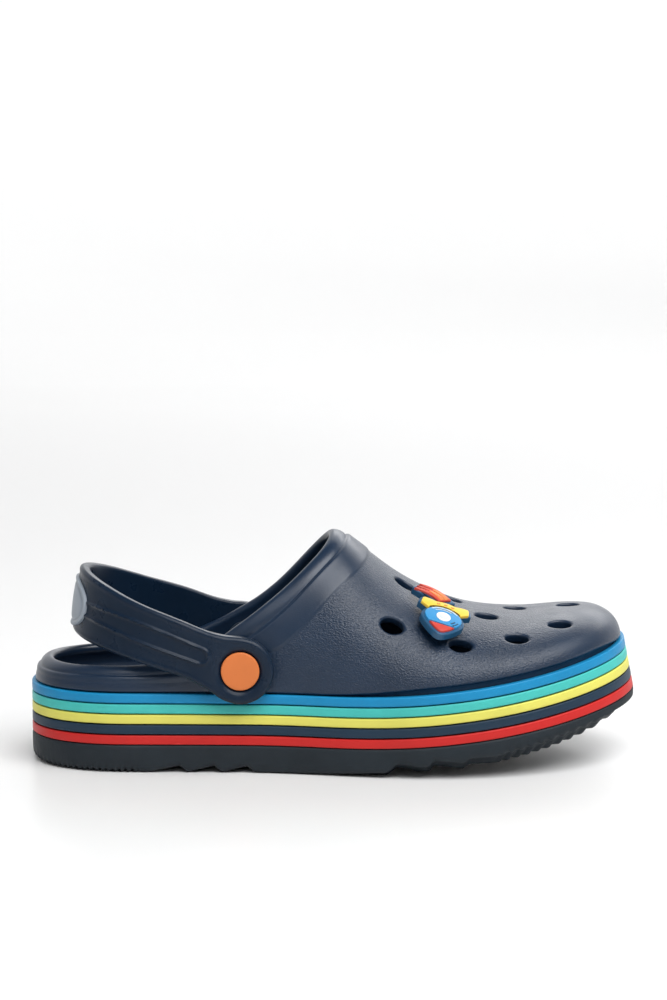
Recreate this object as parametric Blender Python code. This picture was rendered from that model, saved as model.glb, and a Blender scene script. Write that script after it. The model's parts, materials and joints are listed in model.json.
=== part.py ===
"""A child's platform garden clog for the right foot.

One foam moulding makes the upper and the footbed. It sits in a striped platform sole: five foxing
bands round a midsole core, over a treaded outsole. A heel strap swivels on two snap rivets, and a
rocket charm is buttoned into one of the vent holes.

The toe points to +X, the outer side of the foot is -Y and the floor is Z = 0. Run it with
blender --background --python part.py
"""

import math

import bmesh
import bpy
import numpy as np
from mathutils import Matrix, Vector

MM = 0.001  # every dimension below is in millimetres
GAP = 0.3  # clearance between neighbouring pieces
EDGE_STEPS = 34  # stations from heel tip to toe tip, along each side

# Footprint of the platform, before the toe is bent up
LENGTH = 200.0
HEEL_ROUND, TOE_ROUND = 34.0, 56.0  # lengths over which the ends round off
HEEL_POWER, TOE_POWER = 2.15, 2.25
HALF_WIDTHS = (
    (-100, 30.2), (-66, 30.4), (-38, 31.0), (-18, 31.9), (4, 35.8), (30, 40.7), (50, 41.6), (100, 41.0),
)
CENTRE_LINE = ((-100, 0), (-60, 0), (-30, 0), (5, -1.2), (35, -0.8), (65, 2.2), (100, 6.5))

# Layers of the sole, as heights before the toe is bent up
TREAD_EDGE = 1.6  # where the outsole's wall turns under
OUTSOLE_TOP = 9.0
BAND_PITCH = 3.4
BAND_HEIGHT = 3.0
BAND_DEPTH = 2.6
CORE_INSET = BAND_DEPTH + GAP
CORE_TOP = 14.3
TOP_BAND = OUTSOLE_TOP + GAP + 4 * BAND_PITCH  # underside of the highest band
LEDGE = TOP_BAND + BAND_HEIGHT + GAP  # underside of the upper's flange
# A shadow gap opens under the upper along the forefoot: how tall, where it opens and where it closes
TOE_GROWTH, GROWTH_RAMP, GROWTH_FADE = 1.8, (-6.0, 36.0), (88.0, 102.0)
BANDS = (  # from the floor up
    ("red", (0.5, 0.03, 0.03)), ("navy", (0.02, 0.035, 0.08)), ("yellow", (0.65, 0.6, 0.11)),
    ("teal", (0.06, 0.45, 0.41)), ("blue", (0.01, 0.2, 0.4)),
)
TREAD_GROOVES = (-53, -41, -29.5, 22.6, 38)
GROOVE_RADIUS, GROOVE_DEPTH = 6.0, 1.8

# The toe is bent up on one radius, and the tread's rocker has its own
SPRING_START, SPRING_RADIUS = -4.0, 395.0
ROCKER_START, ROCKER_RADIUS = 8.0, 245.0
EDGE_ROCKER_START, EDGE_ROCKER_RADIUS = -16.0, 350.0  # the same, along the outsole's edge
HEEL_EASE_START, HEEL_EASE_RADIUS = -90.0, 60.0
TOE_LEAN = 0.75  # how far the stack leans back with the bend: 1 keeps it square to the layers

# Upper
WALL = 3.4
UPPER_INSET = 1.1  # the ledge that the top band shows round the upper
DOME_HEIGHTS = (
    (-100, 17.8), (-62, 15.7), (-50, 23.8), (-33, 49.5), (-18, 49.1), (0, 49.3), (12, 41), (21, 33.3),
    (35, 24.2), (43, 20.2), (55, 16.2), (66, 13.7), (75, 12.7), (88, 12), (100, 12.2),
)
DOME_POWERS = ((-100, 2.0), (0, 2.0), (35, 1.85), (60, 2.1), (100, 2.25))
DOME_PEAK = ((-100, 0), (-10, 0), (25, 3.5), (60, 5), (100, 2))  # the ridge runs on the foot's inner side
DOME_TOE_ROUND, DOME_TOE_POWER = 27.0, 2.3
COLLAR_HALF_WIDTHS = ((-96, 27.8), (-62, 26.1), (-45, 28.1), (-30, 28.1), (-13, 25.6), (2, 24.6))
COLLAR_CENTRE = ((-96, 0), (-30, 0.2), (-13, -0.1), (2, -1.6))
COLLAR_REAR, COLLAR_FRONT = -95.4, 0.9
COLLAR_FRONT_ROUND, COLLAR_FRONT_POWER = 29.0, 2.35
COLLAR_RING = (  # which point of the collar each point of the base reaches up to
    (-98.9, -95.4), (-90, -86.8), (-70, -68.5), (-50, -50.5), (-30, -36.5), (-10, -26.5), (10, -19),
    (30, -12.2), (50, -6.6), (70, -2.6), (85, -0.4), (98.9, 0.9),
)
DOME_RINGS = 13
FOOTBED = 19.6  # height of the footbed's lowest part
VENT_HALF_LENGTH, VENT_HALF_WIDTH = 3.9, 3.0
CENTRE_VENTS = ((24.5, -7.5), (40.5, 3), (62.5, 7), (81, 8.5))
MIDDLE_VENTS = ((34.5, -23.8, 22.2), (52, -9.5, 19.5))  # each on the lateral and the medial side
SIDE_VENTS = ((19.8, -30.1, 28.9), (42.5, -31.8, 31.6), (61.5, -26.1, 30.9), (76.5, -16, 24))

# Heel strap, drawn in its own plane: the pivot axis is its origin
PIVOT_X, PIVOT_Z = -30.0, 34.5
STRAP_TILT = math.radians(18.3)  # how far the arms rise towards the heel
STRAP_INNER_HALF = 32.6  # inner faces of the arms, from the centre plane
STRAP_REACH = 54.7  # from the pivot axis to the inside of the bow
STRAP_STRAIGHT = 10.0  # the arms run straight this far behind the pivot, then round the bow
STRAP_THICK, BOSS_THICK = 3.3, 4.3
BOSS_RADIUS = 10.8
# Its edges, by arc from the bow
STRAP_UPPER = ((0, 11.4), (20, 10.4), (34, 9.5), (50, 9.2), (58, 8.9), (66, 9.8), (72, 10.4))
STRAP_LOWER = ((0, -9.9), (20, -9.6), (36, -8.7), (48, -8.1), (56, -7.9), (64, -9.2), (70, -10.4))
STRAP_FLARE = 0.19  # how much the bow leans out towards its upper edge
BADGE_HALF_LENGTH, BADGE_HALF_HEIGHT, BADGE_THICK = 14.6, 8.1, 1.1
BADGE_RISE = -0.5

# Rivets
RIVET_BORE, STEM_RADIUS = 3.7, 3.4
PIN_RADIUS, SOCKET_RADIUS = 1.8, 2.1
CAP_RADIUS, CAP_THICK = 6.2, 1.5
WELL_RADIUS, WELL_DEPTH = 6.7, 1.9
FLANGE_RADIUS, FLANGE_THICK = 6.0, 1.5
SEAT_FACE = 25.6  # flat seat inside the wall, from the centre plane
PAD_RADIUS = 6.1

# Rocket charm, drawn flat round the vent hole's axis, with the tail to +Y and the upper's slope to -Y
CHARM_VENT = MIDDLE_VENTS[0][:2]
CHARM_TURN = math.radians(-8)
CHARM_RAISE = 2.5  # underside of the backing plate over the upper's skin
PLATE_THICK, PLATE_MARGIN = 2.3, 1.1
INLAY_THICK, INLAY_EASE = 0.8, 0.25
HULL_CENTRE = 1.3, -4.2
HULL_HALF_WIDTH, HULL_RADIUS = 6.2, 5.5
HULL_NOSE, HULL_TAPER = 2.4, 0.3  # how much longer and narrower the nose end is than a round one
NOSE_LINE = -4.0  # where the nose cone meets the hull, from the hull's centre
WINDOW_RADIUS = 2.4
FIN_BAND, FIN_POINT = 3.0, 2.6
NECK_RADIUS, BUTTON_RADIUS, BUTTON_THICK, BUTTON_DEPTH = 2.5, 4.8, 1.8, 4.3


def natural_spline(points):
    """Returns the smoothest function through these (x, value) points."""
    x, y = np.array(points, float).T
    h = np.diff(x)
    n = len(x)
    system, right = np.eye(n), np.zeros(n)
    for i in range(1, n - 1):
        system[i, i - 1 : i + 2] = h[i - 1], 2 * (h[i - 1] + h[i]), h[i]
        right[i] = 6 * ((y[i + 1] - y[i]) / h[i] - (y[i] - y[i - 1]) / h[i - 1])
    bend_at = np.linalg.solve(system, right)

    def value(at):
        at = np.clip(at, x[0], x[-1])
        i = np.clip(np.searchsorted(x, at) - 1, 0, n - 2)
        a, b = x[i + 1] - at, at - x[i]
        cubic = (bend_at[i] * a**3 + bend_at[i + 1] * b**3) / (6 * h[i])
        low = (y[i] / h[i] - bend_at[i] * h[i] / 6) * a
        high = (y[i + 1] / h[i] - bend_at[i + 1] * h[i] / 6) * b
        return cubic + low + high

    return value


def rounding(share, power):
    """1 at share 0, falling to 0 at share 1 like the quarter of a superellipse."""
    return (1 - np.clip(share, 0, 1) ** power) ** (1 / power)


side_width = natural_spline(HALF_WIDTHS)
centre_y = natural_spline(CENTRE_LINE)
dome_ridge = natural_spline(DOME_HEIGHTS)
dome_power = natural_spline(DOME_POWERS)
dome_peak = natural_spline(DOME_PEAK)
collar_width = natural_spline(COLLAR_HALF_WIDTHS)
collar_centre = natural_spline(COLLAR_CENTRE)
collar_reach = natural_spline(COLLAR_RING)
strap_upper = natural_spline(STRAP_UPPER)
strap_lower = natural_spline(STRAP_LOWER)


def half_width(x, inset):
    """Half the footprint's width at x, for an outline this far inside the platform's edge."""
    end = LENGTH / 2 - inset
    heel = rounding((HEEL_ROUND - inset - end - x) / (HEEL_ROUND - inset), HEEL_POWER)
    toe = rounding((x - end + TOE_ROUND - inset) / (TOE_ROUND - inset), TOE_POWER)
    return (side_width(x) - inset) * heel * toe


def footprint(inset, steps=EDGE_STEPS):
    """Closed outline as (x, y) rows: heel tip, outer side, toe tip, inner side."""
    turn = np.pi * np.arange(2 * steps) / steps
    x = -(LENGTH / 2 - inset) * np.cos(turn)
    side = np.where(turn <= np.pi, -1, 1)
    return np.column_stack([x, centre_y(x) + side * half_width(x, inset)])


def ramp(value, start, end):
    """0 below start, 1 above end, with an even ease between them."""
    share = np.clip((value - start) / (end - start), 0, 1)
    return share**2 * (3 - 2 * share)


def bend(flat):
    """Bends the toe up: the layers rise along the spring's radius and lean back a little."""
    x, y, z = np.asarray(flat, float).T
    run = np.maximum(x - SPRING_START, 0)
    stack = np.clip(z, OUTSOLE_TOP, LEDGE) - OUTSOLE_TOP
    lean = TOE_LEAN * run / SPRING_RADIUS * stack
    growth = TOE_GROWTH * (ramp(x, *GROWTH_RAMP) - ramp(x, *GROWTH_FADE))
    growth = growth * np.clip((z - LEDGE) / GAP + 1, 0, 1)
    return np.column_stack([x - lean, y, z + growth + run**2 / (2 * SPRING_RADIUS)])


def level(outline, z):
    return np.column_stack([outline, np.full(len(outline), float(z))])


def dome(x, y):
    """Height of the upper's outer skin over the ledge."""
    heel_span = HEEL_ROUND - UPPER_INSET
    toe_end = LENGTH / 2 - UPPER_INSET
    heel = rounding((-toe_end + heel_span - x) / heel_span, 2.0)
    toe = rounding((x - toe_end + DOME_TOE_ROUND) / DOME_TOE_ROUND, DOME_TOE_POWER)
    width = np.maximum(half_width(x, UPPER_INSET), 1e-6)
    power = dome_power(x)
    away = y - centre_y(x) - dome_peak(x)
    across = np.clip(np.abs(away) / np.maximum(width - np.sign(away) * dome_peak(x), 1e-6), 0, 1)
    return dome_ridge(x) * heel * toe * (1 - across**power) ** (1 / power)


def skin(x, y):
    """Points of the upper's outer skin, bent with the sole, over plan positions x, y."""
    x, y = np.atleast_1d(x).astype(float), np.atleast_1d(y).astype(float)
    return bend(np.column_stack([x, y, LEDGE + dome(x, y)]))


def skin_frame(x, y):
    """Point and outward normal of the outer skin over one plan position."""
    step = 0.05
    point = skin(x, y)[0]
    along = skin(x + step, y)[0] - skin(x - step, y)[0]
    across = skin(x, y + step)[0] - skin(x, y - step)[0]
    normal = np.cross(along, across)
    return point, normal / np.linalg.norm(normal)


def collar(steps=EDGE_STEPS):
    """Plan of the foot opening's edge, one point for each point of the footprint."""
    base = footprint(UPPER_INSET, steps)
    x = collar_reach(base[:, 0])
    rear = rounding((COLLAR_REAR + HEEL_ROUND - x) / HEEL_ROUND, HEEL_POWER)
    front = rounding((x - COLLAR_FRONT + COLLAR_FRONT_ROUND) / COLLAR_FRONT_ROUND, COLLAR_FRONT_POWER)
    side = np.where(np.arange(2 * steps) <= steps, -1, 1)
    return np.column_stack([x, collar_centre(x) + side * collar_width(x) * rear * front])


def linked(name, mesh, colour, roughness=0.55, metallic=0.0):
    """Puts a mesh in the clog's collection as a named object with its own material."""
    obj = bpy.data.objects.new(name, mesh)
    COLLECTION.objects.link(obj)
    material = bpy.data.materials.new(name)
    material.use_nodes = True
    shader = material.node_tree.nodes["Principled BSDF"]
    shader.inputs["Base Color"].default_value = (*colour, 1)
    shader.inputs["Roughness"].default_value = roughness
    shader.inputs["Metallic"].default_value = metallic
    obj.data.materials.append(material)
    return obj


def loft(rings, closed=False):
    """Mesh through rings of points in millimetres. Its end rings are filled, or joined if closed."""
    bm = bmesh.new()
    rows = [[bm.verts.new(Vector(p) * MM) for p in ring] for ring in rings]
    pairs = list(zip(rows, rows[1:] + rows[:1])) if closed else list(zip(rows, rows[1:]))
    for low, high in pairs:
        for i in range(len(low)):
            k = (i + 1) % len(low)
            bm.faces.new((low[i], low[k], high[k], high[i]))
    if not closed:
        for row in (rows[0], rows[-1]):
            fill_across(bm, row)
    bmesh.ops.recalc_face_normals(bm, faces=bm.faces)
    mesh = bpy.data.meshes.new("loft")
    bm.to_mesh(mesh)
    bm.free()
    return mesh


def fill_across(bm, row):
    """Fills a ring with strips from one side to the other, so that a bent end stays smooth."""
    n = len(row)
    for i in range(n // 2):
        corners = [row[i], row[i + 1], row[n - i - 1], row[-i]] if i else [row[0], row[1], row[n - 1]]
        bm.faces.new(list(dict.fromkeys(corners)))


def smooth(obj, angle=40):
    obj.data.shade_smooth()
    obj.data.set_sharp_from_angle(angle=math.radians(angle))
    return obj


def cylinder(name, radius, start, end, segments=32):
    """A cylinder between two points in millimetres, as a helper mesh object."""
    start, end = Vector(start) * MM, Vector(end) * MM
    bm = bmesh.new()
    bmesh.ops.create_cone(
        bm, cap_ends=True, segments=segments, radius1=radius * MM, radius2=radius * MM,
        depth=(end - start).length,
    )
    turn = (end - start).to_track_quat("Z", "Y").to_matrix().to_4x4()
    bmesh.ops.transform(bm, matrix=Matrix.Translation((start + end) / 2) @ turn, verts=bm.verts)
    mesh = bpy.data.meshes.new(name)
    bm.to_mesh(mesh)
    bm.free()
    return mesh


def tool(name, mesh):
    """A cutter or a piece to be joined: kept in its own collection and left out of renders."""
    obj = bpy.data.objects.new(name, mesh)
    TOOLS.objects.link(obj)
    obj.hide_render = True
    obj.display_type = "WIRE"
    return obj


def boolean(obj, other, operation="DIFFERENCE"):
    modifier = obj.modifiers.new(other.name, "BOOLEAN")
    modifier.object = other
    modifier.operation = operation
    modifier.solver = "EXACT"


def start_scene():
    for obj in list(bpy.data.objects):
        bpy.data.objects.remove(obj)
    made = []
    for name in ("garden_clog", "garden_clog_tools"):
        collection = bpy.data.collections.new(name)
        bpy.context.scene.collection.children.link(collection)
        made.append(collection)
    return made


COLLECTION, TOOLS = start_scene()


def tread(outline, lift, start=ROCKER_START, radius=ROCKER_RADIUS):
    """Ring of the tread's surface: flat under heel and arch, rockered at the toe and eased at the heel."""
    x = outline[:, 0]
    toe = np.maximum(x - start, 0) ** 2 / (2 * radius)
    heel = np.maximum(HEEL_EASE_START - x, 0) ** 2 / (2 * HEEL_EASE_RADIUS)
    return np.column_stack([outline, lift + toe + heel])


def add_outsole():
    rings = [
        tread(footprint(6.0), 0),
        tread(footprint(1.2), 0.4, EDGE_ROCKER_START, EDGE_ROCKER_RADIUS),
        tread(footprint(0.2), TREAD_EDGE, EDGE_ROCKER_START, EDGE_ROCKER_RADIUS),
        bend(level(footprint(0), OUTSOLE_TOP - 0.6)),
        bend(level(footprint(0.6), OUTSOLE_TOP)),
    ]
    outsole = linked("outsole", loft(rings), (0.045, 0.05, 0.055), 0.7)
    for i, x in enumerate(TREAD_GROOVES):
        axle = -GROOVE_RADIUS + GROOVE_DEPTH
        groove = cylinder("groove", GROOVE_RADIUS, (x, -60, axle), (x, 60, axle), 24)
        boolean(outsole, tool(f"tread_groove_{i}", groove))
    return smooth(outsole)


def add_band(name, colour, bottom):
    top = bottom + BAND_HEIGHT
    section = (
        (0.5, bottom), (0, bottom + 0.5), (0, top - 0.5), (0.5, top), (BAND_DEPTH, top), (BAND_DEPTH, bottom),
    )
    rings = [bend(level(footprint(inset), z)) for inset, z in section]
    return smooth(linked(f"band_{name}", loft(rings, closed=True), colour), 30)


def add_core():
    low, high = OUTSOLE_TOP + GAP, CORE_TOP
    rings = [bend(level(footprint(CORE_INSET), z)) for z in (low, high)]
    return smooth(linked("midsole_core", loft(rings), (0.03, 0.04, 0.06)))


def ring_normals(rings):
    """Outward unit normals of a sheet of rings, from the points round each one."""
    grid = np.array(rings)
    around = np.roll(grid, -1, axis=1) - np.roll(grid, 1, axis=1)
    upward = np.gradient(grid, axis=0)
    normal = np.cross(around, upward)
    return normal / np.linalg.norm(normal, axis=2, keepdims=True)


def shell_rings():
    """Rings of the upper: up the outside, over the lip, down the inside and onto the footbed."""
    base, opening = footprint(UPPER_INSET), collar()
    outside = []
    for j in range(DOME_RINGS + 1):
        share = 1 - math.cos(math.pi / 2 * j / DOME_RINGS)
        plan = base + (opening - base) * share
        outside.append(skin(plan[:, 0], plan[:, 1]))
    normals = ring_normals(outside)
    plug = [bend(level(footprint(CORE_INSET), z)) for z in (CORE_TOP + GAP, LEDGE)]
    inside = [ring - WALL * normal for ring, normal in zip(outside, normals)]
    edge = outside[-1] - outside[-2]
    edge /= np.linalg.norm(edge, axis=1, keepdims=True)
    middle = outside[-1] - normals[-1] * WALL / 2
    lip = []
    for turn in np.radians((45, 90, 135)):
        lip.append(middle + WALL / 2 * (math.cos(turn) * normals[-1] + math.sin(turn) * edge))
    hollow = [(UPPER_INSET + WALL + 0.4, FOOTBED + 4.0), (8.0, FOOTBED + 1.0), (13.0, FOOTBED)]
    floor = [bend(level(footprint(inset), z)) for inset, z in hollow]
    return plug + outside + lip + inside[::-1] + floor


def both_sides(start, end):
    """The same pair of points across the rivet axis, on the outer and on the inner side."""
    return [((PIVOT_X, side * start, PIVOT_Z), (PIVOT_X, side * end, PIVOT_Z)) for side in (-1, 1)]


def vent_places():
    places = list(CENTRE_VENTS)
    for x, lateral, medial in MIDDLE_VENTS + SIDE_VENTS:
        places += [(x, lateral), (x, medial)]
    return places


def vent_plug(x, y):
    """Oval plug through the wall over one plan position, longest along the shoe."""
    point, normal = skin_frame(x, y)
    right = np.cross((0, 1, 0), normal)
    right /= np.linalg.norm(right)
    ahead = np.cross(normal, right)
    rim = [u * right + v * ahead for u, v in oval(VENT_HALF_LENGTH, VENT_HALF_WIDTH, 2, 24)]
    return loft([[point + spoke + depth * normal for spoke in rim] for depth in (-2.2 * WALL, 4)])


def add_shell():
    shell = linked("clog_shell", loft(shell_rings()), (0.05, 0.08, 0.14), 0.6)
    for i, (start, end) in enumerate(both_sides(SEAT_FACE, STRAP_INNER_HALF - GAP)):
        boolean(shell, tool(f"rivet_pad_{i}", cylinder("pad", PAD_RADIUS, start, end)), "UNION")
    for i, (start, end) in enumerate(both_sides(SEAT_FACE - 4, STRAP_INNER_HALF + 4)):
        boolean(shell, tool(f"rivet_bore_{i}", cylinder("bore", RIVET_BORE, start, end)))
    for i, (x, y) in enumerate(vent_places()):
        boolean(shell, tool(f"vent_hole_{i}", vent_plug(x, y)))
    return smooth(shell)


def strap_path():
    """Inside face of the strap: arc length from the bow, reach, side and outward normal."""
    turn = np.linspace(0, np.pi / 2, 200)
    span = STRAP_REACH - STRAP_STRAIGHT
    reach = np.append(STRAP_STRAIGHT + span * np.cos(turn), -BOSS_RADIUS)
    side = np.append(STRAP_INNER_HALF * np.sin(turn), STRAP_INNER_HALF)
    slope_r, slope_s = np.append(-span * np.sin(turn), -1), np.append(STRAP_INNER_HALF * np.cos(turn), 0)
    size = np.hypot(slope_r, slope_s)
    arc = np.append(0, np.cumsum(np.hypot(np.diff(reach), np.diff(side))))
    return arc, reach, side, slope_s / size, -slope_r / size


PATH = strap_path()
PIVOT_ARC = PATH[0][-1] - BOSS_RADIUS


def strap_point(arc, depth, height):
    """World point of the strap's flat blank, once wrapped round the heel."""
    reach, side, out_r, out_s = (np.interp(abs(arc), PATH[0], column) for column in PATH[1:])
    depth = depth + STRAP_FLARE * height * out_r**2
    reach, side = reach + depth * out_r, math.copysign(side + depth * out_s, arc)
    x = PIVOT_X - reach * math.cos(STRAP_TILT) + height * math.sin(STRAP_TILT)
    z = PIVOT_Z + reach * math.sin(STRAP_TILT) + height * math.cos(STRAP_TILT)
    return x, side, z


def strap_edges(arc):
    """Lower and upper edge of the strap's blank: its own, or the round end's where that is wider."""
    from_pivot = abs(arc) - PIVOT_ARC
    round_end = math.sqrt(max(BOSS_RADIUS**2 - from_pivot**2, 0))
    if from_pivot > 0:
        return -round_end, round_end
    return min(-round_end, float(strap_lower(abs(arc)))), max(round_end, float(strap_upper(abs(arc))))


def add_strap():
    end = PIVOT_ARC + BOSS_RADIUS * 0.985
    half = np.concatenate([
        np.linspace(0, PIVOT_ARC - BOSS_RADIUS, 14),
        PIVOT_ARC - BOSS_RADIUS * np.cos(np.linspace(0.35, math.pi - math.acos(0.985), 12)),
    ])
    arcs = np.concatenate([-half[:0:-1], half])
    rings = []
    for arc in arcs:
        to_boss = np.clip((abs(arc) - PIVOT_ARC + 1.6 * BOSS_RADIUS) / (0.7 * BOSS_RADIUS), 0, 1)
        thick = STRAP_THICK + (BOSS_THICK - STRAP_THICK) * to_boss
        (low, high), ease = strap_edges(arc), 0.8
        section = (
            (0, low + ease), (0, high - ease), (ease, high), (thick - ease, high), (thick, high - ease),
            (thick, low + ease), (thick - ease, low), (ease, low),
        )
        rings.append([strap_point(arc, depth, height) for depth, height in section])
    strap = linked("heel_strap", loft(rings), (0.03, 0.045, 0.08), 0.5)
    outside = STRAP_INNER_HALF + BOSS_THICK
    for i, (start, stop) in enumerate(both_sides(outside - WELL_DEPTH, outside + 4)):
        boolean(strap, tool(f"strap_well_{i}", cylinder("well", WELL_RADIUS, start, stop)))
    for i, (start, stop) in enumerate(both_sides(STRAP_INNER_HALF - 4, outside + 4)):
        boolean(strap, tool(f"strap_bore_{i}", cylinder("bore", RIVET_BORE, start, stop)))
    hang(strap, STRAP_HINGE)
    return smooth(strap)


def oval(half_length, half_height, power, count=32):
    turn = 2 * np.pi * np.arange(count) / count
    a, b = -np.cos(turn), np.sin(turn)
    u = half_length * np.sign(a) * np.abs(a) ** (2 / power)
    v = half_height * np.sign(b) * np.abs(b) ** (2 / power)
    return np.column_stack([u, v])


def add_badge():
    back = STRAP_THICK + GAP
    rings = []
    for inset, depth in ((0, back), (0, back + BADGE_THICK - 0.4), (0.5, back + BADGE_THICK)):
        outline = oval(BADGE_HALF_LENGTH - inset, BADGE_HALF_HEIGHT - inset, 2.2)
        rings.append([strap_point(u, depth, v + BADGE_RISE) for u, v in outline])
    badge = linked("strap_badge", loft(rings), (0.2, 0.23, 0.28), 0.4)
    hang(badge, STRAP_HINGE)
    return smooth(badge)


def add_rivet(name, side):
    """One snap rivet: a capped hollow stem from outside and a pin with a flange from inside the wall."""
    floor = STRAP_INNER_HALF + BOSS_THICK - WELL_DEPTH + GAP

    def at(y):
        return PIVOT_X, side * y, PIVOT_Z

    cap = cylinder("cap", CAP_RADIUS, at(floor), at(floor + CAP_THICK))
    button = linked(f"rivet_button_{name}", cap, (0.7, 0.2, 0.05))
    stem = cylinder("stem", STEM_RADIUS, at(SEAT_FACE), at(floor + 0.5))
    socket = cylinder("socket", SOCKET_RADIUS, at(SEAT_FACE - 4), at(floor - 1), 24)
    boolean(button, tool(f"stem_{name}", stem), "UNION")
    boolean(button, tool(f"socket_{name}", socket))
    smooth(button)
    face = SEAT_FACE - GAP
    flange = cylinder("flange", FLANGE_RADIUS, at(face), at(face - FLANGE_THICK))
    pin = linked(f"rivet_pin_{name}", flange, (0.03, 0.05, 0.09))
    shaft = cylinder("pin", PIN_RADIUS, at(face - 0.5), at(floor - 1.6), 24)
    boolean(pin, tool(f"pin_{name}", shaft), "UNION")
    smooth(pin)


def empty(name, place):
    marker = bpy.data.objects.new(name, None)
    marker.empty_display_size = 0.01
    marker.location = Vector(place) * MM
    COLLECTION.objects.link(marker)
    return marker


def hang(obj, parent):
    """Parents an object built in world coordinates without moving it."""
    obj.parent = parent
    obj.matrix_parent_inverse = Matrix.Translation(-parent.location)


def charm_base_frame():
    """World matrix of the charm: origin on the upper's skin at the vent, +Z along the vent's axis."""
    point, normal = skin_frame(*CHARM_VENT)
    forward = np.array([1.0, 0, 0]) - normal[0] * normal
    forward /= np.linalg.norm(forward)
    upslope = np.cross(normal, forward)
    right = math.cos(CHARM_TURN) * forward + math.sin(CHARM_TURN) * upslope
    ahead = np.cross(normal, right)
    frame = Matrix.Identity(4)
    for column, axis in enumerate((right, ahead, normal, point * MM)):
        frame.col[column][:3] = axis
    return frame


def hull_outline(margin=0.0, count=36):
    """Round hull that tapers to a blunt nose towards -Y."""
    turn = 2 * np.pi * np.arange(count) / count
    across, along = np.cos(turn), np.sin(turn)
    nose = HULL_NOSE * np.maximum(-along, 0) ** 3
    taper = 1 - HULL_TAPER * np.maximum(-along, 0) ** 2
    u = HULL_CENTRE[0] + (HULL_HALF_WIDTH + margin) * across * taper
    v = HULL_CENTRE[1] + (HULL_RADIUS + margin) * along - nose
    return np.column_stack([u, v])


def fins_outline(margin=0.0, count=22):
    """Crescent behind the hull that ends in a pointed fin on each side."""
    spread = math.radians(54)
    turn = np.linspace(-spread, spread, count)
    point = FIN_POINT * np.clip(1 - np.abs(np.abs(turn) - 0.7) / 0.34, 0, 1)
    outer = HULL_RADIUS + FIN_BAND + point + margin
    inner = HULL_RADIUS + GAP - margin
    wide = HULL_HALF_WIDTH - HULL_RADIUS
    ring = [
        ((outer + wide) * np.sin(turn), outer * np.cos(turn)),
        ((inner + wide) * np.sin(turn[::-1]), inner * np.cos(turn[::-1])),
    ]
    u, v = np.concatenate(ring, axis=1)
    return np.column_stack([HULL_CENTRE[0] + u, HULL_CENTRE[1] + v])


def flame_outline(margin=0.0, start=0.0, end=10.8, half=2.4, shift=0.0, count=14):
    """Flame that leaves the tail, leans to -X and tapers; shift moves it across its own line."""
    along = np.linspace(start - margin, end + margin, count)
    share = (along - start) / (end + margin - start)
    width = (half + margin) * np.sqrt(np.clip(1 - share**2, 0, 1)) + 0.15
    lean = 0.6 + 0.05 * along
    base_u, base_v = HULL_CENTRE[0] - 0.6, HULL_CENTRE[1] + HULL_RADIUS + FIN_BAND + 1.3
    spine_u = base_u - along * np.sin(lean)
    spine_v = base_v + along * np.cos(lean) * 0.85
    sides = []
    for away in (shift + width, shift - width):
        sides.append(np.column_stack([spine_u + away * np.cos(lean), spine_v + away * np.sin(lean)]))
    return np.concatenate([sides[0], sides[1][::-1]])


def prism(outline, bottom, top, ease=0.0):
    """Closed solid on a flat outline, with its top edge eased in towards the middle."""
    outline = np.asarray(outline)
    middle = outline.mean(axis=0)
    size = np.abs(outline - middle).max()
    bm = bmesh.new()
    levels = [(1, bottom), (1, top - ease), (1 - ease / size, top)] if ease else [(1, bottom), (1, top)]
    rows = []
    for scale, z in levels:
        rows.append([bm.verts.new(Vector((*(middle + (p - middle) * scale), z)) * MM) for p in outline])
    for low, high in zip(rows, rows[1:]):
        for i in range(len(low)):
            k = (i + 1) % len(low)
            bm.faces.new((low[i], low[k], high[k], high[i]))
    bm.faces.new(rows[0][::-1])
    bm.faces.new(rows[-1])
    bmesh.ops.recalc_face_normals(bm, faces=bm.faces)
    mesh = bpy.data.meshes.new("prism")
    bm.to_mesh(mesh)
    bm.free()
    return mesh


def on_charm(obj):
    obj.parent = CHARM_HINGE
    return smooth(obj)


def add_charm():
    """Backing plate with its neck and retaining button, and the raised colours on its face."""
    top, under = CHARM_RAISE + PLATE_THICK, -BUTTON_DEPTH
    plate = prism(hull_outline(PLATE_MARGIN), CHARM_RAISE, top)
    base = on_charm(linked("charm_base", plate, (0.01, 0.06, 0.14), 0.35))
    joined = {
        "plate_fins": prism(fins_outline(PLATE_MARGIN), CHARM_RAISE, top),
        "plate_flame": prism(flame_outline(PLATE_MARGIN), CHARM_RAISE, top),
        "neck": cylinder("neck", NECK_RADIUS, (0, 0, under - 0.5), (0, 0, CHARM_RAISE + 0.5)),
        "button": cylinder("button", BUTTON_RADIUS, (0, 0, under - BUTTON_THICK), (0, 0, under)),
    }
    for name, mesh in joined.items():
        piece = tool(name, mesh)
        piece.parent = CHARM_HINGE
        boolean(base, piece, "UNION")
    face = top + GAP
    upper_face = face + INLAY_THICK + GAP
    hull = hull_outline()
    nose_line = HULL_CENTRE[1] + NOSE_LINE
    body = [p for p in hull if p[1] > nose_line + GAP]
    nose = [p for p in hull if p[1] < nose_line]
    window = HULL_CENTRE + oval(WINDOW_RADIUS, WINDOW_RADIUS, 2, 28)
    raised = (
        ("charm_hull", body, face, (0.06, 0.36, 0.66)),
        ("charm_nose", nose, face, (0.6, 0.05, 0.03)),
        ("charm_fins", fins_outline(), face, (0.8, 0.5, 0.06)),
        ("charm_flame", flame_outline(), face, (0.6, 0.07, 0.04)),
        ("charm_flame_core", flame_outline(0, 0.2, 6.4, 0.9, 0.5), upper_face, (0.8, 0.3, 0.06)),
        ("charm_window", window, upper_face, (0.8, 0.8, 0.8)),
    )
    for name, outline, bottom, colour in raised:
        on_charm(linked(name, prism(outline, bottom, bottom + INLAY_THICK, INLAY_EASE), colour, 0.35))


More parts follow.
